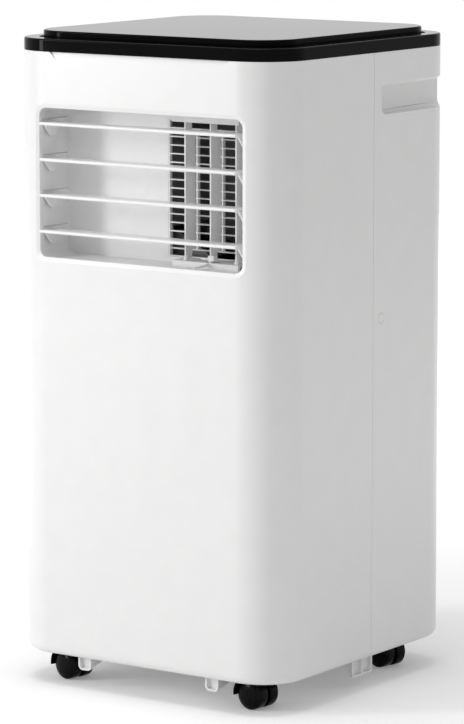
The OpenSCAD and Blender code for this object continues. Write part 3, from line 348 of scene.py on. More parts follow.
def bevel_edges(bm, chosen, width, segments):
    """Rounds the edges that a test chooses."""
    edges = [e for e in bm.edges if chosen(e)]
    if not edges:
        raise RuntimeError("no edge to round")
    bmesh.ops.bevel(
        bm, geom=edges, offset=width, segments=segments, profile=0.5, affect="EDGES",
        clamp_overlap=False, loop_slide=True)


def drop_faces(bm, chosen):
    """Deletes the faces that a test chooses, with what only they used."""
    faces = [f for f in bm.faces if chosen(f)]
    if not faces:
        raise RuntimeError("no face to delete")
    bmesh.ops.delete(bm, geom=faces, context="FACES")


def join_points(target, distance):
    """Joins an object's points that lie nearer than a distance."""
    edit(target, lambda bm: bmesh.ops.remove_doubles(bm, verts=bm.verts, dist=distance))


def flat_at(axis, value):
    """Test for faces or edges that lie whole in a plane across an axis."""
    return lambda part: all(abs(v.co[axis] - value) < TOUCH for v in part.verts)


def even_normals(target):
    """Keeps flat faces flat beside small fillets."""
    weigh = target.modifiers.new("even_normals", "WEIGHTED_NORMAL")
    weigh.mode = "FACE_AREA_WITH_ANGLE"
    weigh.weight = 50
    weigh.keep_sharp = True


def thicken(target, wall):
    """Gives a skin its wall, inwards."""
    solid = target.modifiers.new("wall", "SOLIDIFY")
    solid.thickness = wall
    solid.offset = -1.0
    solid.use_even_offset = False
    bake_modifiers(target)


def round_edges(target, width, segments=2, angle=30.0):
    """Rounds a piece's edges that are sharper than an angle, by modifiers."""
    bevel = target.modifiers.new("bevel", "BEVEL")
    bevel.width = width
    bevel.segments = segments
    bevel.limit_method = "ANGLE"
    bevel.angle_limit = math.radians(angle)
    bevel.use_clamp_overlap = True
    even_normals(target)
    return bevel


def soften(name, width, segments, merge):
    """Rounds the sharp edges of a frame node by modifiers, which leave its own mesh as it is.

    merge joins flat faces first. It stays off for a plate with many holes.
    """
    node = frame["nodes"][name]
    mesh = node.data
    if "custom_normal" in mesh.attributes:
        mesh.attributes.remove(mesh.attributes["custom_normal"])
    mesh.shade_smooth()
    weld = node.modifiers.new("weld", "WELD")
    weld.merge_threshold = 2e-6
    if merge:
        flat = node.modifiers.new("flat", "DECIMATE")
        flat.decimate_type = "DISSOLVE"
        flat.angle_limit = math.radians(0.6)
    round_edges(node, width, segments, 32.0).miter_outer = "MITER_ARC"


def finish_piece(piece, body, slot, *replaced, look=None):
    """Gives a modelled piece its body, its slot, the nodes that it stands for and its material.

    The material is the slot's own, unless look names another.
    """
    piece.data.materials.clear()
    piece.data.materials.append(materials[look or slot])
    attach(piece, body)
    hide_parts(*replaced)


# ---------------------------------------------------------------- shader nodes


def feed(tree, target, value):
    """Gives an input a value, or links another node's output to it."""
    if isinstance(value, bpy.types.NodeSocket):
        tree.links.new(value, target)
    else:
        target.default_value = value


def fill(tree, node, **inputs):
    """Feeds a node's inputs by name, with underscores for spaces."""
    for name, value in inputs.items():
        feed(tree, node.inputs[name.replace("_", " ")], value)


def add(tree, kind, x, y, **values):
    """Adds and places a node. Small names set its properties, capital names feed its inputs."""
    node = tree.nodes.new(kind)
    node.location = (x, y)
    for name, value in values.items():
        if name[0].isupper():
            fill(tree, node, **{name: value})
        else:
            setattr(node, name, value)
    return node


def maths(tree, operation, x, y, *terms, kind="ShaderNodeMath", **values):
    """Result of a math node whose inputs take the terms in order."""
    node = add(tree, kind, x, y, operation=operation, **values)
    for target, term in zip(node.inputs, terms):
        feed(tree, target, term)
    return node.outputs[0]


def object_place(tree, x, y):
    """Place on the object, in its own axes."""
    return add(tree, "ShaderNodeTexCoord", x, y).outputs["Object"]


def emptied(owner):
    """Node tree of a new material or world, without its first nodes."""
    owner.use_nodes = True
    owner.node_tree.nodes.clear()
    return owner.node_tree


# ---------------------------------------------------------------- shared effects, as node groups

made_groups = {}


def new_group(name, takes, gives):
    """Node group with inputs, each with its default, and outputs, and the sockets of its inputs."""
    group = bpy.data.node_groups.new(name, "ShaderNodeTree")
    for label, value in takes.items():
        kind = "NodeSocketVector" if isinstance(value, tuple) else "NodeSocketFloat"
        made = group.interface.new_socket(name=label, in_out="INPUT", socket_type=kind)
        made.default_value = value
    for label in gives:
        group.interface.new_socket(name=label, in_out="OUTPUT", socket_type="NodeSocketFloat")
    return group, add(group, "NodeGroupInput", -900, 0).outputs


def moulding_group():
    """Moulded plastic: slow waviness and fine grain as a height, uneven roughness, a faint mottle."""
    group, given = new_group("moulding", {
        "Grain Scale": 2600.0, "Wave Scale": 14.0, "Wave Share": 0.5, "Roughness": 0.4,
        "Roughness Spread": 0.08}, ("Height", "Roughness", "Mottle"))
    place = object_place(group, -900, -300)
    grain = add(group, "ShaderNodeTexNoise", -600, 200, Vector=place, Scale=given["Grain Scale"],
                Detail=2.0)
    wave = add(group, "ShaderNodeTexNoise", -600, -60, Vector=place, Scale=given["Wave Scale"],
               Detail=1.0, Roughness=0.4)
    spots = add(group, "ShaderNodeTexNoise", -600, -320, Vector=place, Scale=38.0, Detail=4.0)
    height = add(group, "ShaderNodeMix", -200, 120, Factor=given["Wave Share"],
                 A=grain.outputs["Fac"], B=wave.outputs["Fac"])
    centred = maths(group, "SUBTRACT", -200, -260, spots.outputs["Fac"], 0.5)
    spread = maths(group, "MULTIPLY", 60, -200, centred, given["Roughness Spread"])
    total = maths(group, "ADD", 300, -160, given["Roughness"], spread, use_clamp=True)
    add(group, "NodeGroupOutput", 700, 0, Height=height.outputs["Result"], Roughness=total,
        Mottle=spots.outputs["Fac"])
    return group


def dust_group():
    """Dust that settles on what faces up, in uneven patches."""
    group, given = new_group("settled_dust", {"Amount": 0.2, "Scale": 60.0}, ("Mask",))
    shape = add(group, "ShaderNodeNewGeometry", -900, 240)
    parts = add(group, "ShaderNodeSeparateXYZ", -660, 240, Vector=shape.outputs["Normal"])
    up = add(group, "ShaderNodeMapRange", -420, 240, From_Min=0.35, From_Max=1.0,
             Value=parts.outputs["Z"])
    fine = add(group, "ShaderNodeTexNoise", -600, -80, Vector=object_place(group, -900, -300),
               Scale=given["Scale"], Detail=6.0, Roughness=0.7)
    patch = add(group, "ShaderNodeMapRange", -360, -80, From_Min=0.45, From_Max=0.85,
                Value=fine.outputs["Fac"])
    both = maths(group, "MULTIPLY", -100, 80, up.outputs["Result"], patch.outputs["Result"])
    scaled = maths(group, "MULTIPLY", 140, 80, both, given["Amount"], use_clamp=True)
    add(group, "NodeGroupOutput", 700, 0, Mask=scaled)
    return group


def drawn_metal_group():
    """Drawn or turned metal: fine streaks along one axis, and stains that dull it."""
    group, given = new_group("drawn_metal", {
        "Stretch": (1.0, 1.0, 0.02), "Scale": 900.0, "Roughness": 0.3},
        ("Height", "Roughness", "Stain"))
    place = object_place(group, -900, -200)
    pull = maths(group, "MULTIPLY", -640, 60, place, given["Stretch"], kind="ShaderNodeVectorMath")
    streak = add(group, "ShaderNodeTexNoise", -380, 100, Vector=pull, Scale=given["Scale"],
                 Detail=3.0)
    stain = add(group, "ShaderNodeTexNoise", -380, -200, Vector=place, Scale=45.0, Detail=5.0)
    spread = maths(
        group, "MULTIPLY_ADD", -60, -160, stain.outputs["Fac"], 0.3, given["Roughness"])
    add(group, "NodeGroupOutput", 700, 0, Height=streak.outputs["Fac"], Roughness=spread,
        Stain=stain.outputs["Fac"])
    return group


GROUP_MAKERS = {
    "moulding": moulding_group, "settled_dust": dust_group, "drawn_metal": drawn_metal_group}


def effect(tree, name, x, y, **values):
    """Places a shared effect in a material, with its own values."""
    if name not in made_groups:
        made_groups[name] = GROUP_MAKERS[name]()
    return add(tree, "ShaderNodeGroup", x, y, node_tree=made_groups[name], **values)


# ---------------------------------------------------------------- finishes

materials = {}


def new_material(name):
    """Adds a material with a Principled shader, and gives its node tree and that shader."""
    material = bpy.data.materials.new(name)
    materials[name] = material
    tree = emptied(material)
    shader = add(tree, "ShaderNodeBsdfPrincipled", 300, 0)
    add(tree, "ShaderNodeOutputMaterial", 620, 0, Surface=shader.outputs[0])
    return tree, shader


def bump(tree, height, distance):
    """Normal that follows a height."""
    node = add(tree, "ShaderNodeBump", 60, -320, Strength=1.0, Distance=distance, Height=height)
    return node.outputs["Normal"]


def two_tones(tree, factor, low, high):
    """Colour that goes from low to high with a value from 0.3 to 0.7."""
    ramp = add(tree, "ShaderNodeValToRGB", -200, 160, Fac=factor)
    for stop, place, colour in zip(ramp.color_ramp.elements, (0.3, 0.7), (low, high)):
        stop.position = place
        stop.color = (*colour, 1)
    return ramp.outputs["Color"]


def shade(colour, by):
    """A colour made darker or lighter."""
    return tuple(min(1.0, c * by) for c in colour)


def plastic(name, colour, roughness, grain=2e-5, wave_share=0.35, coat=0.0, dust=0.0, spread=0.08,
            specular=0.5):
    """Moulded plastic: grain is the height of its texture, spread how uneven its roughness is."""
    tree, shader = new_material(name)
    mould = effect(tree, "moulding", -520, -60, Roughness=roughness, Roughness_Spread=spread,
                   Wave_Share=wave_share)
    base = two_tones(tree, mould.outputs["Mottle"], shade(colour, 0.985), shade(colour, 1.01))
    if dust:
        fall = effect(tree, "settled_dust", -520, 340, Amount=dust)
        mix = add(tree, "ShaderNodeMix", 80, 240, data_type="RGBA", A=base,
                  B=(0.45, 0.44, 0.42, 1), Factor=fall.outputs["Mask"])
        base = mix.outputs["Result"]
    fill(tree, shader, Base_Color=base, Roughness=mould.outputs["Roughness"],
         Specular_IOR_Level=specular, Coat_Weight=coat, Coat_Roughness=0.05,
         Normal=bump(tree, mould.outputs["Height"], grain))


def metal(name, colour, roughness, stretch=(1.0, 1.0, 0.02), tarnish=0.75):
    """Drawn or plated metal with faint stains."""
    tree, shader = new_material(name)
    drawn = effect(tree, "drawn_metal", -520, -60, Roughness=roughness, Stretch=stretch)
    base = two_tones(tree, drawn.outputs["Stain"], shade(colour, tarnish), colour)
    fill(tree, shader, Base_Color=base, Roughness=drawn.outputs["Roughness"], Metallic=1.0,
         Normal=bump(tree, drawn.outputs["Height"], 1.5e-5))


def filter_mesh(name):
    """Woven nylon mesh of the dust filter."""
    tree, shader = new_material(name)
    place = object_place(tree, -1000, 0)
    threads = [
        add(tree, "ShaderNodeTexWave", -760, y, bands_direction=way, Scale=260.0, Vector=place)
        for way, y in (("X", 200), ("Z", -60))]
    top = maths(tree, "MAXIMUM", -500, 60, *(thread.outputs["Fac"] for thread in threads))
    fill(tree, shader, Base_Color=two_tones(tree, top, (0.02, 0.022, 0.026), (0.09, 0.095, 0.11)),
         Roughness=0.7, Normal=bump(tree, top, 1.2e-4))


def circuit_board(name):
    """Lacquered board with faint tracks."""
    tree, shader = new_material(name)
    cells = add(tree, "ShaderNodeTexVoronoi", -760, 60, distance="MANHATTAN",
                feature="DISTANCE_TO_EDGE", Scale=150.0, Vector=object_place(tree, -1000, 0))
    edge = add(tree, "ShaderNodeMapRange", -500, 60, From_Max=0.08,
               Value=cells.outputs["Distance"]).outputs["Result"]
    fill(tree, shader, Base_Color=two_tones(tree, edge, (0.05, 0.24, 0.10), (0.02, 0.13, 0.05)),
         Roughness=0.35, Normal=bump(tree, edge, 3e-5))


def build_finishes(colours):
    """Makes the material of every finish."""
    shell, duct = tuple(colours.shell), tuple(colours.duct)
    black, caster, copper = tuple(colours.black), tuple(colours.caster), tuple(colours.copper)
    plastic("shell_white", shell, 0.34, grain=1.2e-5, coat=0.12)
    # Duct parts: their white is set a little above the shell's, as painted light that lifts the shaded
    # inside of the outlet.
    plastic("duct_white", duct, 0.42, grain=1.5e-5)
    # Blades: the duct's white made 2% lighter, as painted light that makes their lug faces read lighter
    # than the shaded duct walls.
    plastic("blade_white_painted_light", shade(duct, 1.02), 0.36, grain=1.2e-5)
    plastic("black_gloss", black, 0.06, grain=1.5e-6, wave_share=0.9, dust=0.008, spread=0.05,
            specular=0.04)
    plastic("plate_gloss", black, 0.05, grain=1.5e-6, wave_share=0.9, dust=0.004, spread=0.05,
            specular=0.025)
    plastic("black_plastic", caster, 0.12, grain=3e-6, dust=0.01, specular=0.07)
    plastic("inner_plastic", (0.62, 0.62, 0.6), 0.5, dust=0.3)
    plastic("dark_foam", (0.16, 0.16, 0.158), 0.8, grain=6e-5, wave_share=0.1)
    plastic("fan_plastic", (0.13, 0.13, 0.132), 0.45, dust=0.2)
    plastic("painted_can", (0.012, 0.012, 0.013), 0.35, grain=3e-5, dust=0.25)
    plastic("rubber", (0.018, 0.018, 0.018), 0.62, grain=3e-5)
    metal("steel", (0.58, 0.59, 0.6), 0.28)
    metal("coil_fins", (0.75, 0.76, 0.78), 0.3, stretch=(1.0, 1.0, 0.01))
    metal("copper", copper, 0.22, tarnish=0.6)
    metal("capacitor", (0.7, 0.71, 0.73), 0.35)
    circuit_board("board")
    filter_mesh("filter")


def paint(finish, *nodes):
    """Gives frame nodes a finish."""
    for name in nodes:
        slots = frame["nodes"][name].data.materials
        slots.clear()
        slots.append(materials[finish])


def dress(finish, width, *nodes, segments=2, merge=True):
    """Softens frame nodes and gives them a finish."""
    for name in nodes:
        soften(name, width, segments, merge)
    paint(finish, *nodes)


# ---------------------------------------------------------------- cabinet

DUCT_WALL = 2 * MM
DUCT_RADIUS = 8 * MM
SEAM_GAP = 0.12 * MM
SKIRT_INSIDE = 0.6 * MM      # flat left under the skirt's fillet
SKIRT_STEPS = 10
POCKET = 3 * MM              # depth to which an opening in the back turns in
DUCT_STEP = 1.4 * MM         # from the outlet's edge out to the duct's inner faces
DUCT_W = duct_high.x - duct_low.x - 2 * (DUCT_WALL + DUCT_STEP)
DUCT_H = duct_high.z - duct_low.z - 2 * (DUCT_WALL + DUCT_STEP)
DUCT_MID = middle("louvre_frame")[2]
FLANGE_Y = duct_low.y - 0.2 * MM
LIP_TILT = math.radians(11)
LIP_ROUND = 0.8 * MM
LIP_FLOOR = 1 * MM           # how much deeper than its width the lip's opening is cut
SCOOP_LOW_Z = SHELL_TOP - 7.5 * MM
SCOOP_LOW_HALF = 97 * MM
SCOOP_DEPTH = 2.2 * MM
GRIP_DEPTH = 17.5 * MM
GRIP_FRONT_Y = 20 * MM
GRIP_LOW_Z = 560.5 * MM
GRIP_H = 30 * MM
GRIP_LOW_R = 8.5 * MM
GRIP_HIGH_R = 5 * MM
GRIP_REACH = 20 * MM         # how far the recess is cut on past the cabinet
CUP_DEPTH = 8 * MM
INTAKE_PANELS = ("rear_grille_upper", "rear_grille_lower")
PANEL_RADIUS = 8 * MM
PANEL_GAP = 0.4 * MM
FITTING_GAP = 0.2 * MM
SHELL_SHARP = math.radians(38)
TURNED_SHARP = 50            # degrees
BEYOND = 5 * MM              # how far a cutter reaches out of the cabinet
plug_low, plug_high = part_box("screw_caps")
PLUG_Y, PLUG_Z = middle("screw_caps")[1:]
PLUG_R = (plug_high.z - plug_low.z) / 2


def ring_at(inset, z, corner, steps):
    """The cabinet's plan outline moved in, as a ring at a height."""
    plan = rounded_rect(
        2 * (HALF_W - inset), BACK_Y - FRONT_Y - 2 * inset, max(corner - inset, 1 * MM), steps)
    return [(x, y, z) for x, y in plan]


def skirt_low(sizes):
    """Height of the skirt's lowest edge."""
    return SHELL_BOTTOM + sizes.skirt * (1 - math.sin(math.acos(SKIRT_INSIDE / sizes.skirt)))


def half_block(sizes, name, cut_y, keep_front):
    """The cabinet's solid up to the rim, its lower edge rounded, in front of a plane or behind it."""
    start = math.acos(SKIRT_INSIDE / sizes.skirt)
    turn = [start * (1 - k / SKIRT_STEPS) for k in range(SKIRT_STEPS + 1)]
    rings = [(sizes.skirt * (1 - math.cos(a)), SHELL_BOTTOM + sizes.skirt * (1 - math.sin(a)))
             for a in turn]
    rings.append((0.0, SHELL_TOP))
    bm = bmesh.new()
    stack(bm, [ring_at(inset, z, sizes.corner, sizes.corner_steps) for inset, z in rings])
    bmesh.ops.recalc_face_normals(bm, faces=bm.faces)
    bmesh.ops.bisect_plane(
        bm, geom=bm.verts[:] + bm.edges[:] + bm.faces[:], dist=TOUCH * 0.1, plane_co=(0, cut_y, 0),
        plane_no=(0, 1 if keep_front else -1, 0), clear_outer=True)
    bmesh.ops.holes_fill(bm, edges=[e for e in bm.edges if e.is_boundary])
    return new_object(name, bm)


def outline_gap(u, v, width, height, radius):
    """Distance of a point from a rounded rectangle's outline, negative inside."""
    qu, qv = abs(u) - width / 2 + radius, abs(v) - height / 2 + radius
    return math.hypot(max(qu, 0), max(qv, 0)) + min(max(qu, qv), 0) - radius


def outline_way(u, v, width, height, radius):
    """Outward direction of a rounded rectangle's outline at a point on it."""
    qu, qv = abs(u) - width / 2 + radius, abs(v) - height / 2 + radius
    if qu > 0 and qv > 0:
        size = math.hypot(qu, qv)
        return math.copysign(qu / size, u), math.copysign(qv / size, v)
    return (math.copysign(1, u), 0) if qu > qv else (0, math.copysign(1, v))


def open_loop(edges):
    """Vertices of a closed chain of edges, in order."""
    first = edges[0]
    chain = [first.verts[0], first.verts[1]]
    left = set(edges[1:])
    while left:
        step = next((e for e in chain[-1].link_edges if e in left), None)
        if step is None:
            raise RuntimeError("the opening's edge is not one closed chain")
        left.remove(step)
        chain.append(step.other_vert(chain[-1]))
    return chain[:-1]


def lip_profile(width):
    """Outlet lip from the front face in: inward and backward steps of slope, tight round and flange."""
    slope = width - LIP_ROUND * (1 - math.sin(LIP_TILT))
    depth = slope * math.tan(LIP_TILT)
    points = [(0.35 * MM, 0.02 * MM), (0.8 * MM, 0.8 * MM * math.tan(LIP_TILT)), (slope, depth)]
    for k in range(1, 7):
        a = LIP_TILT + (math.pi / 2 - LIP_TILT) * k / 6
        points.append((
            slope + LIP_ROUND * (math.sin(a) - math.sin(LIP_TILT)),
            depth + LIP_ROUND * (math.cos(LIP_TILT) - math.cos(a))))
    return points + [(width, FLANGE_Y - FRONT_Y - 0.25 * MM), (width - 0.25 * MM, FLANGE_Y - FRONT_Y)]


def roll_lip(bm, width):
    """Turns the outlet's edge in along the lip's profile and on to the flange's back."""
    outline = (DUCT_W + 2 * width, DUCT_H + 2 * width, DUCT_RADIUS + width)
    floor = [v for v in bm.verts if abs(v.co.y - (FRONT_Y + width + LIP_FLOOR)) < TOUCH]
    bmesh.ops.delete(bm, geom=floor, context="VERTS")
    chain = open_loop([e for e in bm.edges if e.is_boundary])
    first = chain[0].link_edges
    edge = next(e for e in first if e.other_vert(chain[0]) is chain[1])
    face = edge.link_faces[0]
    corner_at = next(c for c in face.loops if c.vert is chain[0])
    if corner_at.link_loop_next.vert is chain[1]:
        chain.reverse()
    rings = [chain]
    for inward, back in lip_profile(width):
        ring = []
        for v in chain:
            du, dv = outline_way(v.co.x, v.co.z - DUCT_MID, *outline)
            ring.append(bm.verts.new((v.co.x - du * inward, v.co.y + back, v.co.z - dv * inward)))
        rings.append(ring)
    for low, high in zip(rings, rings[1:]):
        skin(bm, low, high)


def outlet_outline(grow):
    """The outlet's outline grown by a width, in X-Z."""
    return moved(
        rounded_rect(DUCT_W + 2 * grow, DUCT_H + 2 * grow, DUCT_RADIUS + grow, 14), 0, DUCT_MID)


def lip_cutter(width):
    """Shallow prism that opens the front face round the outlet's lip."""
    return prism(outlet_outline(width), FRONT_Y - BEYOND, FRONT_Y + width + LIP_FLOOR)


def scoop_cutter():
    """Wedge of the finger scoop under the rim, its ends at 45 degrees."""
    bm = bmesh.new()
    slope = SCOOP_DEPTH / (SHELL_TOP - SCOOP_LOW_Z)
    rings = []
    for z in (SCOOP_LOW_Z - 1 * MM, SHELL_TOP + 1 * MM):
        half = SCOOP_LOW_HALF + z - SCOOP_LOW_Z
        back = FRONT_Y + slope * (z - SCOOP_LOW_Z)
        front = FRONT_Y - 3 * MM
        rings.append([(-half, front, z), (half, front, z), (half, back, z), (-half, back, z)])
    stack(bm, rings)
    return bm


def grip_outline(u, width):
    """Outline of the handle recess from a place on, rounded on its inner side."""
    outline = arc(GRIP_LOW_R, GRIP_LOW_R, GRIP_LOW_R, 180, 270, 8) + [(width, 0), (width, GRIP_H)]
    outline += arc(GRIP_HIGH_R, GRIP_H - GRIP_HIGH_R, GRIP_HIGH_R, 90, 180, 8)
    return moved(outline, u, GRIP_LOW_Z)


def grip_cutter(side):
    """Space of the handle recess in one side wall, out through the rear corner."""
    inner = HALF_W - GRIP_DEPTH
    across = [(side * u, v) for u, v in grip_outline(inner, GRIP_DEPTH + GRIP_REACH)]
    along = grip_outline(GRIP_FRONT_Y, BACK_Y - GRIP_FRONT_Y + 1.5 * GRIP_REACH)
    recess = new_object("recess", prism(across, GRIP_FRONT_Y, BACK_Y + GRIP_REACH))
    cut(recess, prism(along, side * inner, side * (HALF_W + GRIP_REACH), "X"), "INTERSECT")
    return recess


def back_cutter(points):
    """Prism that opens the back wall, as deep as the opening turns in."""
    return prism(points, BACK_Y - POCKET, BACK_Y + BEYOND)


def hole_round(name):
    """Circle in the back wall round a fitting."""
    x, z = middle(name)[::2]
    return circle(x, z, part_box(name)[1].x - x + FITTING_GAP)


def hole_for_panel(name):
    """Rounded rectangle in the back wall round an intake panel."""
    x, z = middle(name)[::2]
    low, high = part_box(name)
    return moved(rounded_rect(
        high.x - low.x + 2 * PANEL_GAP, high.z - low.z + 2 * PANEL_GAP,
        PANEL_RADIUS + PANEL_GAP, 8), x, z)


def on_skin(part, corner):
    """Whether a face or edge lies whole on the cabinet's outer walls."""
    plan = (2 * HALF_W, BACK_Y - FRONT_Y, corner)
    return all(abs(outline_gap(v.co.x, v.co.y, *plan)) < 6 * TOUCH for v in part.verts)


def finish_shell(shell, sizes, cut_y, name):
    """Turns a shell's skin into a moulded wall with softened edges, in place of a frame node."""
    for test in (flat_at(1, cut_y), flat_at(2, SHELL_TOP), flat_at(2, skirt_low(sizes))):
        edit(shell, lambda bm, test=test: drop_faces(bm, test))
    join_points(shell, TOUCH * 0.5)
    thicken(shell, sizes.wall)
    for test in (flat_at(1, cut_y), flat_at(2, SHELL_TOP)):
        edit(shell, lambda bm, test=test: bevel_edges(
            bm, lambda e: test(e) and on_skin(e, sizes.corner), sizes.edge, 2))
    shell.data.shade_smooth()
    shell.data.set_sharp_from_angle(angle=SHELL_SHARP)
    even_normals(shell)
    finish_piece(shell, "cabinet", "shell_white", name)


def build_front_shell(sizes):
    """Front shell: the outlet with its filleted lip and return flange, and the finger scoop."""
    cut_y = SEAM_Y - SEAM_GAP
    shell = half_block(sizes, "front_cover", cut_y, True)
    cut(shell, scoop_cutter())
    cut(shell, lip_cutter(sizes.lip))
    edit(shell, lambda bm: roll_lip(bm, sizes.lip))
    finish_shell(shell, sizes, cut_y, "front_shell")


def build_rear_shell(sizes):
    """Rear shell: handle recesses, screw cups, and the openings of the back."""
    cut_y = SEAM_Y + SEAM_GAP
    shell = half_block(sizes, "rear_cover", cut_y, False)
    cup = circle(PLUG_Y, PLUG_Z, PLUG_R + 0.05 * MM)
    for side in (-1, 1):
        cut(shell, grip_cutter(side))
        cut(shell, prism(cup, side * (HALF_W - CUP_DEPTH), side * (HALF_W + BEYOND), "X"))
    for name in INTAKE_PANELS:
        cut(shell, back_cutter(hole_for_panel(name)))
    for name in ("exhaust_collar", "cord_inlet", "drain_cap_upper", "drain_cap_lower"):
        cut(shell, back_cutter(hole_round(name)))
    join_points(shell, TOUCH * 5)

    def on_recess_edge(e):
        """Whether an edge is on the mouth of a recess, a screw cup or an opening."""
        at = e.verts[0].co
        return (on_skin(e, sizes.corner) and e.calc_face_angle(0) > math.radians(30)
                and SHELL_BOTTOM + 10 * MM < at.z < SHELL_TOP - TOUCH and at.y > cut_y + TOUCH)

    edit(shell, lambda bm: bevel_edges(bm, on_recess_edge, sizes.grip_edge, 3))
    edit(shell, lambda bm: drop_faces(bm, flat_at(1, BACK_Y - POCKET)))
    finish_shell(shell, sizes, cut_y, "rear_shell")


# ---------------------------------------------------------------- top cover

PLATE_INSET = plate_low.x + HALF_W
PLATE_GAP = 0.35 * MM
PLATE_CORNER = 9 * MM        # how much rounder the plate's corners are than the cabinet's
SEAT_WIDTH = 12              # of the plate's seat, in millimetres
SEAT_T = 2.5                 # in millimetres
TOP_STEPS = 28


def rounded_over(inset, high, edge):
    """Quarter round of a cover's upper edge, up and in, as inset and height pairs."""
    turn = [math.radians(90 * k / 8) for k in range(9)]
    return [(inset + edge * (1 - math.cos(a)), high - edge * (1 - math.sin(a))) for a in turn]


def finish_cover(name, bm, node, look):
    """Makes a piece of the top cover, with even normals, in place of a frame node."""
    cover = new_object(name, bm, TURNED_SHARP)
    even_normals(cover)
    finish_piece(cover, "cabinet", "black_gloss", node, look=look)


def build_rim(sizes):
    """Black rim of the top cover, a ring with rounded edges and a seat for the plate."""
    seat, inner = plate_low.z, PLATE_INSET - PLATE_GAP
    foot = 3 * MM
    profile = [(0.5 * MM, SHELL_TOP), (sizes.edge * 0.6, SHELL_TOP + 0.15 * MM),
               (0.0, SHELL_TOP + 0.6 * MM)]
    profile += rounded_over(0.0, RIM_TOP, sizes.top_edge)
    profile += near(inner, RIM_TOP, (-0.5, 0), (-0.15, -0.1), (0, -0.4))
    profile += near(inner, seat, (0, 0), (SEAT_WIDTH, 0), (SEAT_WIDTH, -SEAT_T))
    profile += [(foot, seat - SEAT_T * MM), (foot, SHELL_TOP)]
    bm = bmesh.new()
    stack(bm, [ring_at(inset, z, sizes.corner, TOP_STEPS) for inset, z in profile], hoop=True)
    finish_cover("cover_rim", bm, "top_rim", "black_gloss")


def build_plate(sizes):
    """Raised black plate in the rim, its upper edge rounded."""
    profile = [(PLATE_INSET + 0.4 * MM, plate_low.z + 0.02 * MM),
               (PLATE_INSET, plate_low.z + 0.4 * MM)]
    profile += rounded_over(PLATE_INSET, plate_high.z, sizes.top_edge)
    bm = bmesh.new()
    corner = sizes.corner + PLATE_CORNER
    stack(bm, [ring_at(inset, z, corner, TOP_STEPS) for inset, z in profile])
    finish_cover("cover_plate", bm, "top_plate", "plate_gloss")


def build_plugs():
    """Push-in plugs over the shell screws, softly domed."""
    face = plug_high.x
    profile = near(face, PLUG_R, (-2.5, -0.1), (-0.75, 0), (-0.45, -0.1), (-0.2, -0.45), (-0.08, -1.1))
    profile.append((face - 0.02 * MM, PLUG_R * 0.5))
    bm = bmesh.new()
    for side in (-1, 1):
        add_turned(bm, [(r, side * x) for x, r in profile], sideways(PLUG_Y, PLUG_Z), 56)
    plugs = new_object("screw_plugs", bm, 60)
    finish_piece(plugs, "cabinet", "shell_white", "screw_caps")


# ---------------------------------------------------------------- air outlet

rail_low, rail_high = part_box("vane_rail_lower")
top_rail_low, top_rail_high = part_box("vane_rail_upper")
guard_low, guard_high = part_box("outlet_guard")
DUCT_BACK = duct_high.y - DUCT_WALL
BLADE_Y = FRONT_Y + 15 * MM
BLADE_LEFT = -DUCT_W / 2 + 1.1 * MM
BLADE_RIGHT = DUCT_W / 2 - 6.7 * MM
BLADE_BEAD = 1.5 * MM        # radius of a blade's front edge
BLADE_TAIL = 0.7 * MM
BLADE_CHORD = 26 * MM
BLADE_DROP = 6 * MM          # pivots under the blades
BLADE_FOOT = 12.6 * MM       # feet of the lugs under the blades
BLADE_SOFT = 0.35 * MM
LUG = 2.2 * MM
LUG_START = 5.4 * MM         # back from the front face
LUG_TOE = 15.6 * MM
LINK_X = BLADE_RIGHT - LUG - 2.6 * MM
CRANK_Y = BLADE_Y + 10 * MM
PIN_R = 1.5 * MM
LINK_PIN_R = 1.2 * MM
PIN_SUNK = 0.5 * MM          # how far a pin starts inside its own piece
VANE_Y = middle("vane_rail_upper")[1]
VANE_FRONT = VANE_Y - 1.6 * MM
VANE_CHORD = 16.8 * MM
VANE_T = 1.8 * MM
VANE_LOW = rail_high.z + 1.6 * MM
VANE_HIGH = top_rail_low.z - RUNNING_GAP
VANE_LINK_T = 1.2 * MM
VANE_CRANK = 8 * MM
VANE_XS = (middle("vane_1")[0], (middle("vane_1")[0] + middle("vane_3")[0]) / 2, middle("vane_3")[0])
TAB_Z = VANE_LOW + 1 * MM
RAIL_FRONT = FRONT_Y + 27 * MM
RAIL_SKIN = 2 * MM
RAIL_WALL = 1.8 * MM
FIN_X = 40.6 * MM            # from the rail's left end to its fin
FIN_T = 1.2 * MM
GROOVE_UP = 3 * MM           # from a blade's middle to its groove in the duct's left wall
GROOVE_H = 0.9 * MM
GROOVE_DEPTH = 1.4 * MM
SUNK = 0.03 * MM             # overlap of solids that are one piece, or the gap round a seat
RIB_PITCH = 8.25 * MM
RIB_T = 1.25 * MM
GUARD_BAR = 1.8 * MM
GUARD_FLANGE = 3 * MM


def finish_fixed(piece, node):
    """Rounds and finishes a fixed white piece of the outlet, in place of a frame node."""
    round_edges(piece, 0.3 * MM)
    finish_piece(piece, "cabinet", "duct_white", node)


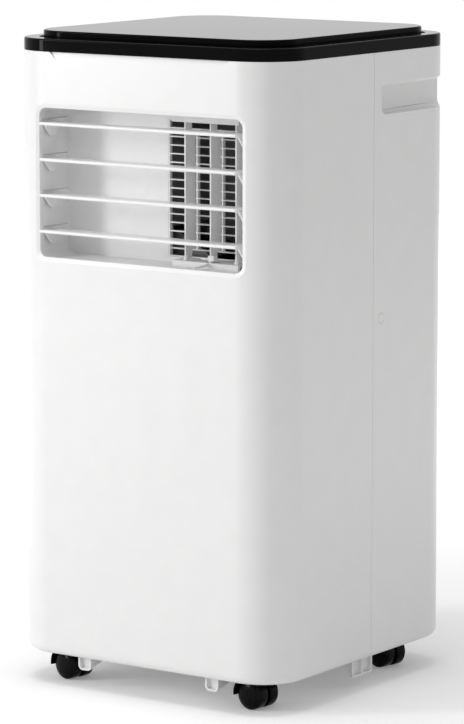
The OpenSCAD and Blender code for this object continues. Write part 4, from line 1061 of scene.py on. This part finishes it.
def build_duct():
    """Duct behind the lip: walls, back plate with the guard's window, rail seat and wall grooves."""
    duct = new_object("air_duct", prism(
        outlet_outline(DUCT_STEP + DUCT_WALL), duct_low.y, duct_high.y))
    cut(duct, prism(outlet_outline(DUCT_STEP), duct_low.y - 1 * MM, DUCT_BACK))
    cut(duct, box(
        (guard_low.x + GUARD_FLANGE, DUCT_BACK - 1 * MM, guard_low.z + GUARD_FLANGE),
        (guard_high.x - GUARD_FLANGE, duct_high.y + 1 * MM, guard_high.z - GUARD_FLANGE)))
    floor_z = DUCT_MID - DUCT_H / 2 - DUCT_STEP
    cut(duct, box((rail_low.x - SUNK, RAIL_FRONT - SUNK, floor_z - 4 * MM),
                  (rail_high.x + SUNK, DUCT_BACK, floor_z + 1 * MM)))
    wall_x = -DUCT_W / 2 - DUCT_STEP
    for name in all_nodes("louvre_blade_"):
        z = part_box(name)[1].z - BLADE_BEAD + GROOVE_UP
        cut(duct, box((wall_x - GROOVE_DEPTH, duct_low.y + 2.8 * MM, z),
                      (wall_x + 1 * MM, DUCT_BACK - 0.5 * MM, z + GROOVE_H)))
    finish_fixed(duct, "louvre_frame")


def build_guard():
    """Guard of thin ribs and upright bars in the duct's back."""
    bm = bmesh.new()
    margin = 0.2 * MM
    x0, x1 = guard_low.x + GUARD_FLANGE + margin, guard_high.x - GUARD_FLANGE - margin
    z0, z1 = guard_low.z + GUARD_FLANGE, guard_high.z - GUARD_FLANGE
    y0, y1 = guard_low.y + 0.3 * MM, guard_high.y - 0.3 * MM
    for k in range(round((z1 - z0) / RIB_PITCH) + 1):
        z = min(max(z0 + k * RIB_PITCH, z0 + RIB_T / 2 + margin), z1 - RIB_T / 2 - margin)
        add_box(bm, (x0, y0, z - RIB_T / 2), (x1, y1, z + RIB_T / 2))
    bars = [(x0, x0 + GUARD_BAR, margin), (x1 - GUARD_BAR, x1, margin)]
    bars += [(x - GUARD_BAR / 2, x + GUARD_BAR / 2, RIB_PITCH) for x in VANE_XS]
    for low_x, high_x, end in bars:
        add_box(bm, (low_x, guard_low.y, z0 + end), (high_x, guard_high.y, z1 - end))
    for (low_x, low_z), (high_x, high_z) in (
            ((guard_low.x, z0), (x0, z1)), ((x1, z0), (guard_high.x, z1)),
            ((guard_low.x, guard_low.z), (guard_high.x, z0 + margin)),
            ((guard_low.x, z1 - margin), (guard_high.x, guard_high.z))):
        add_box(bm, (low_x, duct_high.y, low_z), (high_x, guard_high.y, high_z))
    finish_fixed(new_object("rib_guard", bm), "outlet_guard")


def lug_outline(z, back):
    """Outline of a blade's lug in Y-Z, down to its rounded toe, with the points of its back edge."""
    toe = near(FRONT_Y + LUG_TOE, z - BLADE_FOOT, (-1.95, 2.4), (0, 0.6), (1.4, 0.15), (3, 0))
    return [(FRONT_Y + LUG_START, z - 0.5 * MM)] + toe + back


def blade_section(z, depth):
    """Section of a blade in Y-Z: a round front bead, and a taper that is cut at a depth."""
    share = (depth - BLADE_BEAD) / (BLADE_CHORD - BLADE_BEAD)
    half = BLADE_BEAD + (BLADE_TAIL - BLADE_BEAD) * share
    y = FRONT_Y + depth
    return (arc(FRONT_Y + BLADE_BEAD, z, BLADE_BEAD, 90, 270, 10)
            + near(y, z - half, (-0.3, 0), (0, 0.3)) + near(y, z + half, (0, -0.3), (-0.3, 0)))


def shrunk(section, z):
    """A blade's section drawn in a little, for a softened end."""
    front = FRONT_Y + BLADE_BEAD
    return [(y + (BLADE_SOFT if y < front else 0), z + (v - z) * 0.75) for y, v in section]


def build_blade(name):
    """Louvre blade: a tapered strip with a round front bead, end lugs, pivot pins and link pin."""
    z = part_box(name)[1].z - BLADE_BEAD
    foot = z - BLADE_FOOT
    full = blade_section(z, BLADE_CHORD)
    short = blade_section(z, BLADE_Y - FRONT_Y + 2 * MM)
    notch = LINK_X - 1.2 * MM
    places = [(BLADE_LEFT, shrunk(full, z)), (BLADE_LEFT + BLADE_SOFT, full),
              (notch - 0.01 * MM, full), (notch, short), (BLADE_RIGHT - BLADE_SOFT, short),
              (BLADE_RIGHT, shrunk(short, z))]
    bm = bmesh.new()
    stack(bm, [[(x, y, v) for y, v in section] for x, section in places])
    strip = new_object(name + "_strip", bm, 40)
    left_back = near(FRONT_Y, foot, (22, 0), (24.4, 0.9), (25, 3))
    left_back.append((FRONT_Y + BLADE_CHORD - 0.3 * MM, z))
    right_back = near(CRANK_Y, foot, (2.2, 0), (3, 0.8))
    right_back += [(CRANK_Y + 3 * MM, z - 3 * MM), (BLADE_Y + 7 * MM, z)]
    bm = bmesh.new()
    add_prism(bm, lug_outline(z, left_back), BLADE_LEFT, BLADE_LEFT + LUG)
    add_prism(bm, lug_outline(z, right_back), BLADE_RIGHT - LUG, BLADE_RIGHT)
    lugs = new_object(name + "_lugs", bm)
    round_edges(lugs, 0.4 * MM, segments=3)
    bm = bmesh.new()
    duct_outside = DUCT_W / 2 + DUCT_STEP + DUCT_WALL
    pivot = sideways(BLADE_Y, z - BLADE_DROP)
    link = sideways(CRANK_Y, z - BLADE_DROP)
    add_pin(bm, PIN_R, -duct_outside, BLADE_LEFT + PIN_SUNK, pivot)
    add_pin(bm, PIN_R, BLADE_RIGHT - PIN_SUNK, duct_outside, pivot)
    add_pin(bm, LINK_PIN_R, LINK_X, BLADE_RIGHT - LUG + PIN_SUNK, link)
    pins = new_object(name + "_pins", bm, TURNED_SHARP)
    # The blades wear the lighter copy of the duct's white, which is painted light on their lugs.
    for piece in (strip, lugs, pins):
        finish_piece(piece, body_of_node(name), "duct_white", name, look="blade_white_painted_light")


def notch_corner(z, up):
    """A vane's notch with its rounded inner corner, at its foot if up is 1, at its top if up is -1."""
    cut_in, height, soft = 6.3 * MM, 8.6 * MM, 3 * MM
    back = VANE_FRONT + VANE_CHORD
    inner = back - cut_in
    round_in = arc(inner + soft, z + up * (height - soft), soft, 180, 180 - up * 90, 6)
    points = [(inner, z)] + round_in + [(back, z + up * height)]
    return points[::up]


def build_vane(name, x, with_tab):
    """Upright vane with notched rear corners, a cone at its foot, its crank, and the finger tab."""
    outline = [(VANE_FRONT, VANE_LOW)] + notch_corner(VANE_LOW, 1)
    outline += notch_corner(VANE_HIGH, -1) + [(VANE_FRONT, VANE_HIGH)]
    bm = bmesh.new()
    add_prism(bm, outline, x - VANE_T / 2, x + VANE_T / 2)
    crank_low = rail_high.z - RAIL_SKIN - RUNNING_GAP - VANE_LINK_T
    crank_high = crank_low + VANE_LINK_T
    add_box(bm, (x - 1.5 * MM, VANE_Y, crank_low), (x + 1.5 * MM, VANE_Y + VANE_CRANK, crank_high))
    if with_tab:
        add_box(bm, (x - 1.4 * MM, VANE_FRONT - 2.4 * MM, TAB_Z - 0.8 * MM),
                (x + 5.4 * MM, VANE_FRONT + 4.4 * MM, TAB_Z + 4.4 * MM))
    plate = new_object(name + "_plate", bm)
    round_edges(plate, 0.45 * MM, segments=3)
    bm = bmesh.new()
    pivot, link = upright(x, VANE_Y), upright(x, VANE_Y + VANE_CRANK)
    cone_low = rail_high.z + RUNNING_GAP
    add_turned(bm, near(0, cone_low, (2.3, 0), (2.6, 0.3), (2.45, 1), (0.95, 7.4), (0.5, 7.5)), pivot)
    add_pin(bm, PIN_R, crank_low, VANE_LOW, pivot)
    add_pin(bm, PIN_R, VANE_HIGH - 1 * MM, VANE_HIGH + 4.3 * MM, pivot)
    add_pin(bm, 2 * MM, crank_low, crank_high, link)
    link_low = crank_low - RUNNING_GAP - VANE_LINK_T
    add_pin(bm, LINK_PIN_R, link_low, crank_low + PIN_SUNK, link)
    pieces = [plate, new_object(name + "_pins", bm, TURNED_SHARP)]
    if with_tab:
        pieces.append(make_paddle(x))
    for piece in pieces:
        finish_piece(piece, body_of_node(name), "duct_white", name)


def make_paddle(x):
    """Flat oval paddle of the middle vane's finger tab."""
    mid_x, mid_y, half_x, half_y = x - 5.4 * MM, VANE_FRONT + 0.6 * MM, 6.6 * MM, 2 * MM
    bm = bmesh.new()
    stack(bm, [[(mid_x + half_x * share * math.cos(a), mid_y + half_y * share * math.sin(a),
                 TAB_Z + up * MM) for a in once_round(36)]
               for share, up in ((0.82, 0), (1, 0.5), (1, 1.2), (0.85, 1.8))])
    return new_object("finger_paddle", bm, TURNED_SHARP)


def build_rails():
    """Lower rail with its locating fin, and the upper rail, which carry the vanes."""
    front, back = RAIL_FRONT, DUCT_BACK - 0.2 * MM
    wall = front + RAIL_WALL
    floor, ceiling, top = rail_low.z + 1.6 * MM, rail_high.z - RAIL_SKIN, rail_high.z
    channel = [(front, rail_low.z), (back, rail_low.z), (back, floor), (wall, floor),
               (wall, ceiling), (back, ceiling), (back, top), (front, top)]
    bm = prism(channel, rail_low.x, rail_high.x, "X")
    for x, end_y in ((rail_low.x + SUNK, back - SUNK), (rail_high.x - RAIL_WALL - SUNK, VANE_Y)):
        add_box(bm, (x, wall - SUNK, floor - SUNK), (x + RAIL_WALL, end_y, ceiling + SUNK))
    tip, edge = rail_low.y, DUCT_MID - DUCT_H / 2 + 0.3 * MM
    fin = near(front, top, (1, -0.05), (0, -0.05), (-3, -0.8), (-7, -1.4), (-14, -1.9))
    fin += [(tip, top - 2.2 * MM), (tip, edge), (front + 1 * MM, edge)]
    fin_x = rail_low.x + FIN_X
    add_prism(bm, fin, fin_x, fin_x + FIN_T)
    finish_fixed(new_object("lower_rail", bm), "vane_rail_lower")
    bm = box(top_rail_low, top_rail_high)
    for x in VANE_XS:
        add_pin(bm, 2.6 * MM, top_rail_low.z - 0.001 * MM, top_rail_low.z + 2 * MM, upright(x, VANE_Y))
    finish_fixed(new_object("upper_rail", bm), "vane_rail_upper")


# ---------------------------------------------------------------- casters

WHEEL_R = 15 * MM
WHEEL_HALF = 16 * MM
WHEEL_DOME = 4.5 * MM
WEB_T = 3.6 * MM
HOOD_IN = WHEEL_R + 1.2 * MM
HOOD_OUT = HOOD_IN + 1.8 * MM
TRAIL = 2 * MM
STEM_LOW = WHEEL_R + RUNNING_GAP
COLLAR_H = 3.4 * MM
CASTER_TURN = {"fl": -11.0, "fr": -7.0, "rl": -9.0, "rr": -13.0}  # degrees at rest


def caster_place(key):
    """Place of a caster's axle, X ahead and Y along the axle."""
    axle = Matrix.Translation(middle("caster_wheels_" + key))
    return axle @ Matrix.Rotation(math.radians(CASTER_TURN[key]), 4, "Z")


def along_axle(u, v, w):
    """Place function for a solid turned round the axle."""
    return (u, w, v)


def finish_caster(piece, node):
    """Moves a piece of a caster from its own axes to its place and finishes it."""
    piece.data.transform(caster_place(node[-2:]))
    finish_piece(piece, body_of_node(node), "black_plastic", node)


def build_wheels(key):
    """Pair of domed wheels with a fine groove round each face, on one axle."""
    shoulder, inner = WHEEL_HALF - WHEEL_DOME, WEB_T / 2 + RUNNING_GAP
    profile = [(0.5 * MM, inner)] + near(WHEEL_R, inner, (-1, 0), (-0.25, 0.25), (0, 0.9))
    profile.append((WHEEL_R, shoulder))
    for k in range(1, 13):
        a = math.radians(90 * k / 12)
        radius, up = WHEEL_R * math.cos(a), shoulder + WHEEL_DOME * math.sin(a)
        if k == 5:
            profile += near(radius, up, (0.5, -0.14), (0.28, -0.42), (-0.05, -0.32), (-0.25, 0.12))
        else:
            profile.append((max(radius, 0.2 * MM), up))
    bm = bmesh.new()
    for side in (-1, 1):
        add_turned(bm, [(radius, side * up) for radius, up in profile], along_axle, 72)
    add_turned(bm, [(2 * MM, side * (inner + 1 * MM)) for side in (-1, 1)], along_axle, 24)
    finish_caster(new_object("wheels_" + key, bm, 55), "caster_wheels_" + key)


def build_hood(key):
    """Caster's hood over both wheels, the web between them, and the stem.

    The arcs run from ahead of the axle over its top, angles in degrees.
    """
    node = "caster_hood_" + key
    end = 180 + math.degrees(math.asin(2.5 * MM / HOOD_OUT))
    band = arc(0, 0, HOOD_OUT - 0.01 * MM, 35, end, 40) + arc(0, 0, HOOD_IN, end, 35, 40)
    web = arc(0, 0, HOOD_OUT - 0.9 * MM, 58, 200, 30) + arc(0, 0, 6 * MM, 225, 415, 16)
    bm = prism(band, -WHEEL_HALF, WHEEL_HALF)
    add_prism(bm, web, -WEB_T / 2, WEB_T / 2, "Y")
    hood = new_object("hood_" + key, bm)
    round_edges(hood, 0.45 * MM, segments=3)
    finish_caster(hood, node)
    bm = bmesh.new()
    stem = upright(-TRAIL, 0)
    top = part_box(node)[1].z - middle("caster_wheels_" + key)[2]
    add_pin(bm, 6.5 * MM, STEM_LOW, STEM_LOW + COLLAR_H, stem)
    add_pin(bm, 4 * MM, STEM_LOW, top, stem)
    finish_caster(new_object("stem_" + key, bm, TURNED_SHARP), node)


# ---------------------------------------------------------------- stage

FLOOR_RADIUS = 4.0
FLOOR_GREY = 0.9
FLOOR_GLOW = 0.18            # the floor's own light beside the object, against 1 far from it
FADE_FROM = 0.45             # distance from the middle where the floor starts to fade to white
FADE_TO = 1.5                # where it is plain white
KEY_PLACE, KEY_TARGET, KEY_SIZE = (-1.95, -2.1, 1.0), (0, 0, 0.3), (0.5, 1.6)
TOP_PLACE, TOP_TARGET, TOP_SIZE = (-0.1, -0.25, 2.6), (0, 0, 0), (1.2, 1.2)


def seen_directly(tree):
    """Value that is one for what the camera sees straight on, reflected or through something."""
    path = add(tree, "ShaderNodeLightPath", -1100, 400).outputs
    mirrored = maths(tree, "MAXIMUM", -880, 400, path["Is Camera Ray"], path["Is Glossy Ray"])
    return maths(tree, "MAXIMUM", -660, 400, mirrored, path["Is Transmission Ray"])


def floor_material(name):
    """Matt floor that fades to plain white away from the object and keeps its shadow near it."""
    material = bpy.data.materials.new(name)
    tree = emptied(material)
    matt = add(tree, "ShaderNodeBsdfDiffuse", 0, 0, Color=(FLOOR_GREY, FLOOR_GREY, FLOOR_GREY, 1))
    reach = add(tree, "ShaderNodeVectorMath", -700, -200, operation="LENGTH",
                Vector=object_place(tree, -900, -200))
    fade = add(tree, "ShaderNodeMapRange", -500, -200, interpolation_type="SMOOTHSTEP",
               Value=reach.outputs["Value"], From_Min=FADE_FROM, From_Max=FADE_TO,
               To_Min=FLOOR_GLOW, To_Max=1.0)
    strength = maths(
        tree, "MULTIPLY", -200, -200, fade.outputs["Result"], seen_directly(tree))
    glow = add(tree, "ShaderNodeEmission", 0, -200, Strength=strength)
    both = add(tree, "ShaderNodeAddShader", 300, 0)
    for target, part in zip(both.inputs, (matt, glow)):
        feed(tree, target, part.outputs[0])
    add(tree, "ShaderNodeOutputMaterial", 600, 0, Surface=both.outputs[0])
    return material


def build_floor():
    """Pale floor, wide enough for every view."""
    bm = bmesh.new()
    bm.faces.new([bm.verts.new((FLOOR_RADIUS * math.cos(a), FLOOR_RADIUS * math.sin(a), 0))
                  for a in once_round(96)])
    floor = new_object("studio_floor", bm)
    floor.data.materials.append(floor_material("studio_floor"))


def build_world(sky):
    """White surroundings, dimmer to matt surfaces so that the lamps shape the object."""
    world = bpy.data.worlds.new("studio")
    tree = emptied(world)
    strength = add(tree, "ShaderNodeMapRange", 0, 100, To_Min=sky, To_Max=1.0,
                   Value=seen_directly(tree))
    light = add(tree, "ShaderNodeBackground", 220, 0, Color=(1, 1, 1, 1),
                Strength=strength.outputs["Result"])
    add(tree, "ShaderNodeOutputWorld", 440, 0, Surface=light.outputs[0])
    bpy.context.scene.world = world


def place_on_stage(name, data, place, target):
    """Adds a lamp or the camera at a place, turned so that it looks at a point."""
    made = bpy.data.objects.new(name, data)
    made.location = place
    way = Vector(target) - made.location
    made.rotation_euler = way.to_track_quat("-Z", "Y").to_euler()
    bpy.context.scene.collection.objects.link(made)
    return made


def add_lamp(name, place, target, size, power):
    """Soft box lamp of a width and height."""
    lamp = bpy.data.lights.new(name, "AREA")
    lamp.shape = "RECTANGLE"
    lamp.size, lamp.size_y = size
    lamp.energy = power
    place_on_stage(name, lamp, place, target)


def build_camera(settings):
    """Camera at the settings' bearing, height angle, distance and lens."""
    across = (math.cos(settings.azimuth), math.sin(settings.azimuth))
    level = math.cos(settings.elevation)
    target = Vector((*across, 0)) * settings.target_side + Vector((0, 0, settings.target_z))
    away = Vector((across[1] * level, -across[0] * level, math.sin(settings.elevation)))
    lens = bpy.data.cameras.new("studio_camera")
    lens.sensor_width = 36
    lens.lens = settings.lens
    lens.clip_start = 0.05
    lens.clip_end = 50
    bpy.context.scene.camera = place_on_stage(
        "studio_camera", lens, target + away * settings.distance, target)


def build_stage(settings):
    """Floor, surroundings, lamps and camera."""
    build_floor()
    build_world(settings.sky)
    add_lamp("key_lamp", KEY_PLACE, KEY_TARGET, KEY_SIZE, settings.key_power)
    add_lamp("top_lamp", TOP_PLACE, TOP_TARGET, TOP_SIZE, settings.top_power)
    build_camera(settings)
    bpy.context.scene.view_settings.view_transform = "Standard"


# ---------------------------------------------------------------- pieces that the frame brings

INNER_FINISHES = {
    "inner_plastic": ("mid_deck", "condenser_blower_housing", "control_box"),
    "dark_foam": ("evaporator_blower_housing",),
    "fan_plastic": ("evaporator_blower_wheel", "condenser_blower_wheel"),
    "steel": ("evaporator_motor", "condenser_motor", "compressor_bolts", "shell_screws"),
    "coil_fins": ("evaporator_coil", "condenser_coil"),
    "copper": ("discharge_pipe", "suction_pipe", "capillary_tube"),
    "painted_can": ("compressor", "accumulator"),
    "rubber": ("compressor_grommets",),
    "board": ("control_board", "display_board"),
    "capacitor": ("run_capacitor",),
}


def dress_back():
    """Softens and paints the intake panels, the exhaust collar, the plugs and the cord inlet."""
    dress("shell_white", 0.2 * MM, *INTAKE_PANELS, merge=False)
    dress("duct_white", 0.25 * MM, "exhaust_collar")
    dress("rubber", 0.4 * MM, *all_nodes("drain_cap_"), "cord_inlet", segments=3)
    paint("filter", "filter_screen")


# ---------------------------------------------------------------- operators


class CoolerFinishes(bpy.types.Operator):
    """Make the materials of every finish"""

    bl_idname = "cooler.finishes"
    bl_label = "Finishes"
    bl_options = {"REGISTER", "UNDO"}

    def execute(self, context):
        build_finishes(context.scene.cooler_finishes)
        return {"FINISHED"}


class CoolerShells(bpy.types.Operator):
    """Model the front and rear shell and the screw plugs"""

    bl_idname = "cooler.shells"
    bl_label = "Cabinet shells"
    bl_options = {"REGISTER", "UNDO"}

    def execute(self, context):
        build_front_shell(context.scene.cooler_sizes)
        build_rear_shell(context.scene.cooler_sizes)
        build_plugs()
        return {"FINISHED"}


class CoolerTop(bpy.types.Operator):
    """Model the rim and plate of the black top cover"""

    bl_idname = "cooler.top"
    bl_label = "Top cover"
    bl_options = {"REGISTER", "UNDO"}

    def execute(self, context):
        build_rim(context.scene.cooler_sizes)
        build_plate(context.scene.cooler_sizes)
        return {"FINISHED"}


class CoolerOutlet(bpy.types.Operator):
    """Finish the outlet with its louvre blades, vanes and guard"""

    bl_idname = "cooler.outlet"
    bl_label = "Air outlet"
    bl_options = {"REGISTER", "UNDO"}

    def execute(self, context):
        build_duct()
        build_guard()
        build_rails()
        for name in all_nodes("louvre_blade_"):
            build_blade(name)
        for k, x in enumerate(VANE_XS):
            build_vane("vane_%d" % (k + 1), x, k == 1)
        dress("duct_white", 0.25 * MM, "blade_link", "vane_link")
        return {"FINISHED"}


class CoolerBase(bpy.types.Operator):
    """Finish the base pan, its feet and the casters"""

    bl_idname = "cooler.base"
    bl_label = "Base and casters"
    bl_options = {"REGISTER", "UNDO"}

    def execute(self, context):
        dress("shell_white", 0.45 * MM, "base_pan", "pan_feet", segments=3)
        for key in CASTER_TURN:
            build_wheels(key)
            build_hood(key)
        return {"FINISHED"}


class CoolerBack(bpy.types.Operator):
    """Finish the fittings of the back"""

    bl_idname = "cooler.back"
    bl_label = "Back fittings"
    bl_options = {"REGISTER", "UNDO"}

    def execute(self, context):
        dress_back()
        return {"FINISHED"}


class CoolerInside(bpy.types.Operator):
    """Finish the works inside the cabinet"""

    bl_idname = "cooler.inside"
    bl_label = "Inner works"
    bl_options = {"REGISTER", "UNDO"}

    def execute(self, context):
        for finish, nodes in INNER_FINISHES.items():
            dress(finish, 0.25 * MM, *nodes)
        return {"FINISHED"}


class CoolerStage(bpy.types.Operator):
    """Set up the floor, surroundings, lamps and camera"""

    bl_idname = "cooler.stage"
    bl_label = "Studio"
    bl_options = {"REGISTER", "UNDO"}

    def execute(self, context):
        build_stage(context.scene.cooler_studio)
        return {"FINISHED"}


STEPS = (
    CoolerFinishes, CoolerShells, CoolerTop, CoolerOutlet, CoolerBase, CoolerBack, CoolerInside,
    CoolerStage)


class CoolerPanel(bpy.types.Panel):
    """Sidebar panel with one button for each step"""

    bl_idname = "VIEW3D_PT_cooler"
    bl_label = "Portable air conditioner"
    bl_space_type = "VIEW_3D"
    bl_region_type = "UI"
    bl_category = "Cooler"

    def draw(self, context):
        for step in STEPS:
            self.layout.operator(step.bl_idname)


CLASSES = (CabinetSizes, Finishes, StudioSettings, *STEPS, CoolerPanel)


def register():
    """Registers the classes and the settings on the scene."""
    for cls in CLASSES:
        bpy.utils.register_class(cls)
    bpy.types.Scene.cooler_sizes = PointerProperty(type=CabinetSizes)
    bpy.types.Scene.cooler_finishes = PointerProperty(type=Finishes)
    bpy.types.Scene.cooler_studio = PointerProperty(type=StudioSettings)


def unregister():
    """Undoes register."""
    del bpy.types.Scene.cooler_studio
    del bpy.types.Scene.cooler_finishes
    del bpy.types.Scene.cooler_sizes
    for cls in reversed(CLASSES):
        bpy.utils.unregister_class(cls)


def main():
    """Builds everything in order."""
    register()
    for step in STEPS:
        group, name = step.bl_idname.split(".")
        if getattr(getattr(bpy.ops, group), name)() != {"FINISHED"}:
            raise RuntimeError(step.bl_idname + " did not finish")


if __name__ == "__main__":
    main()
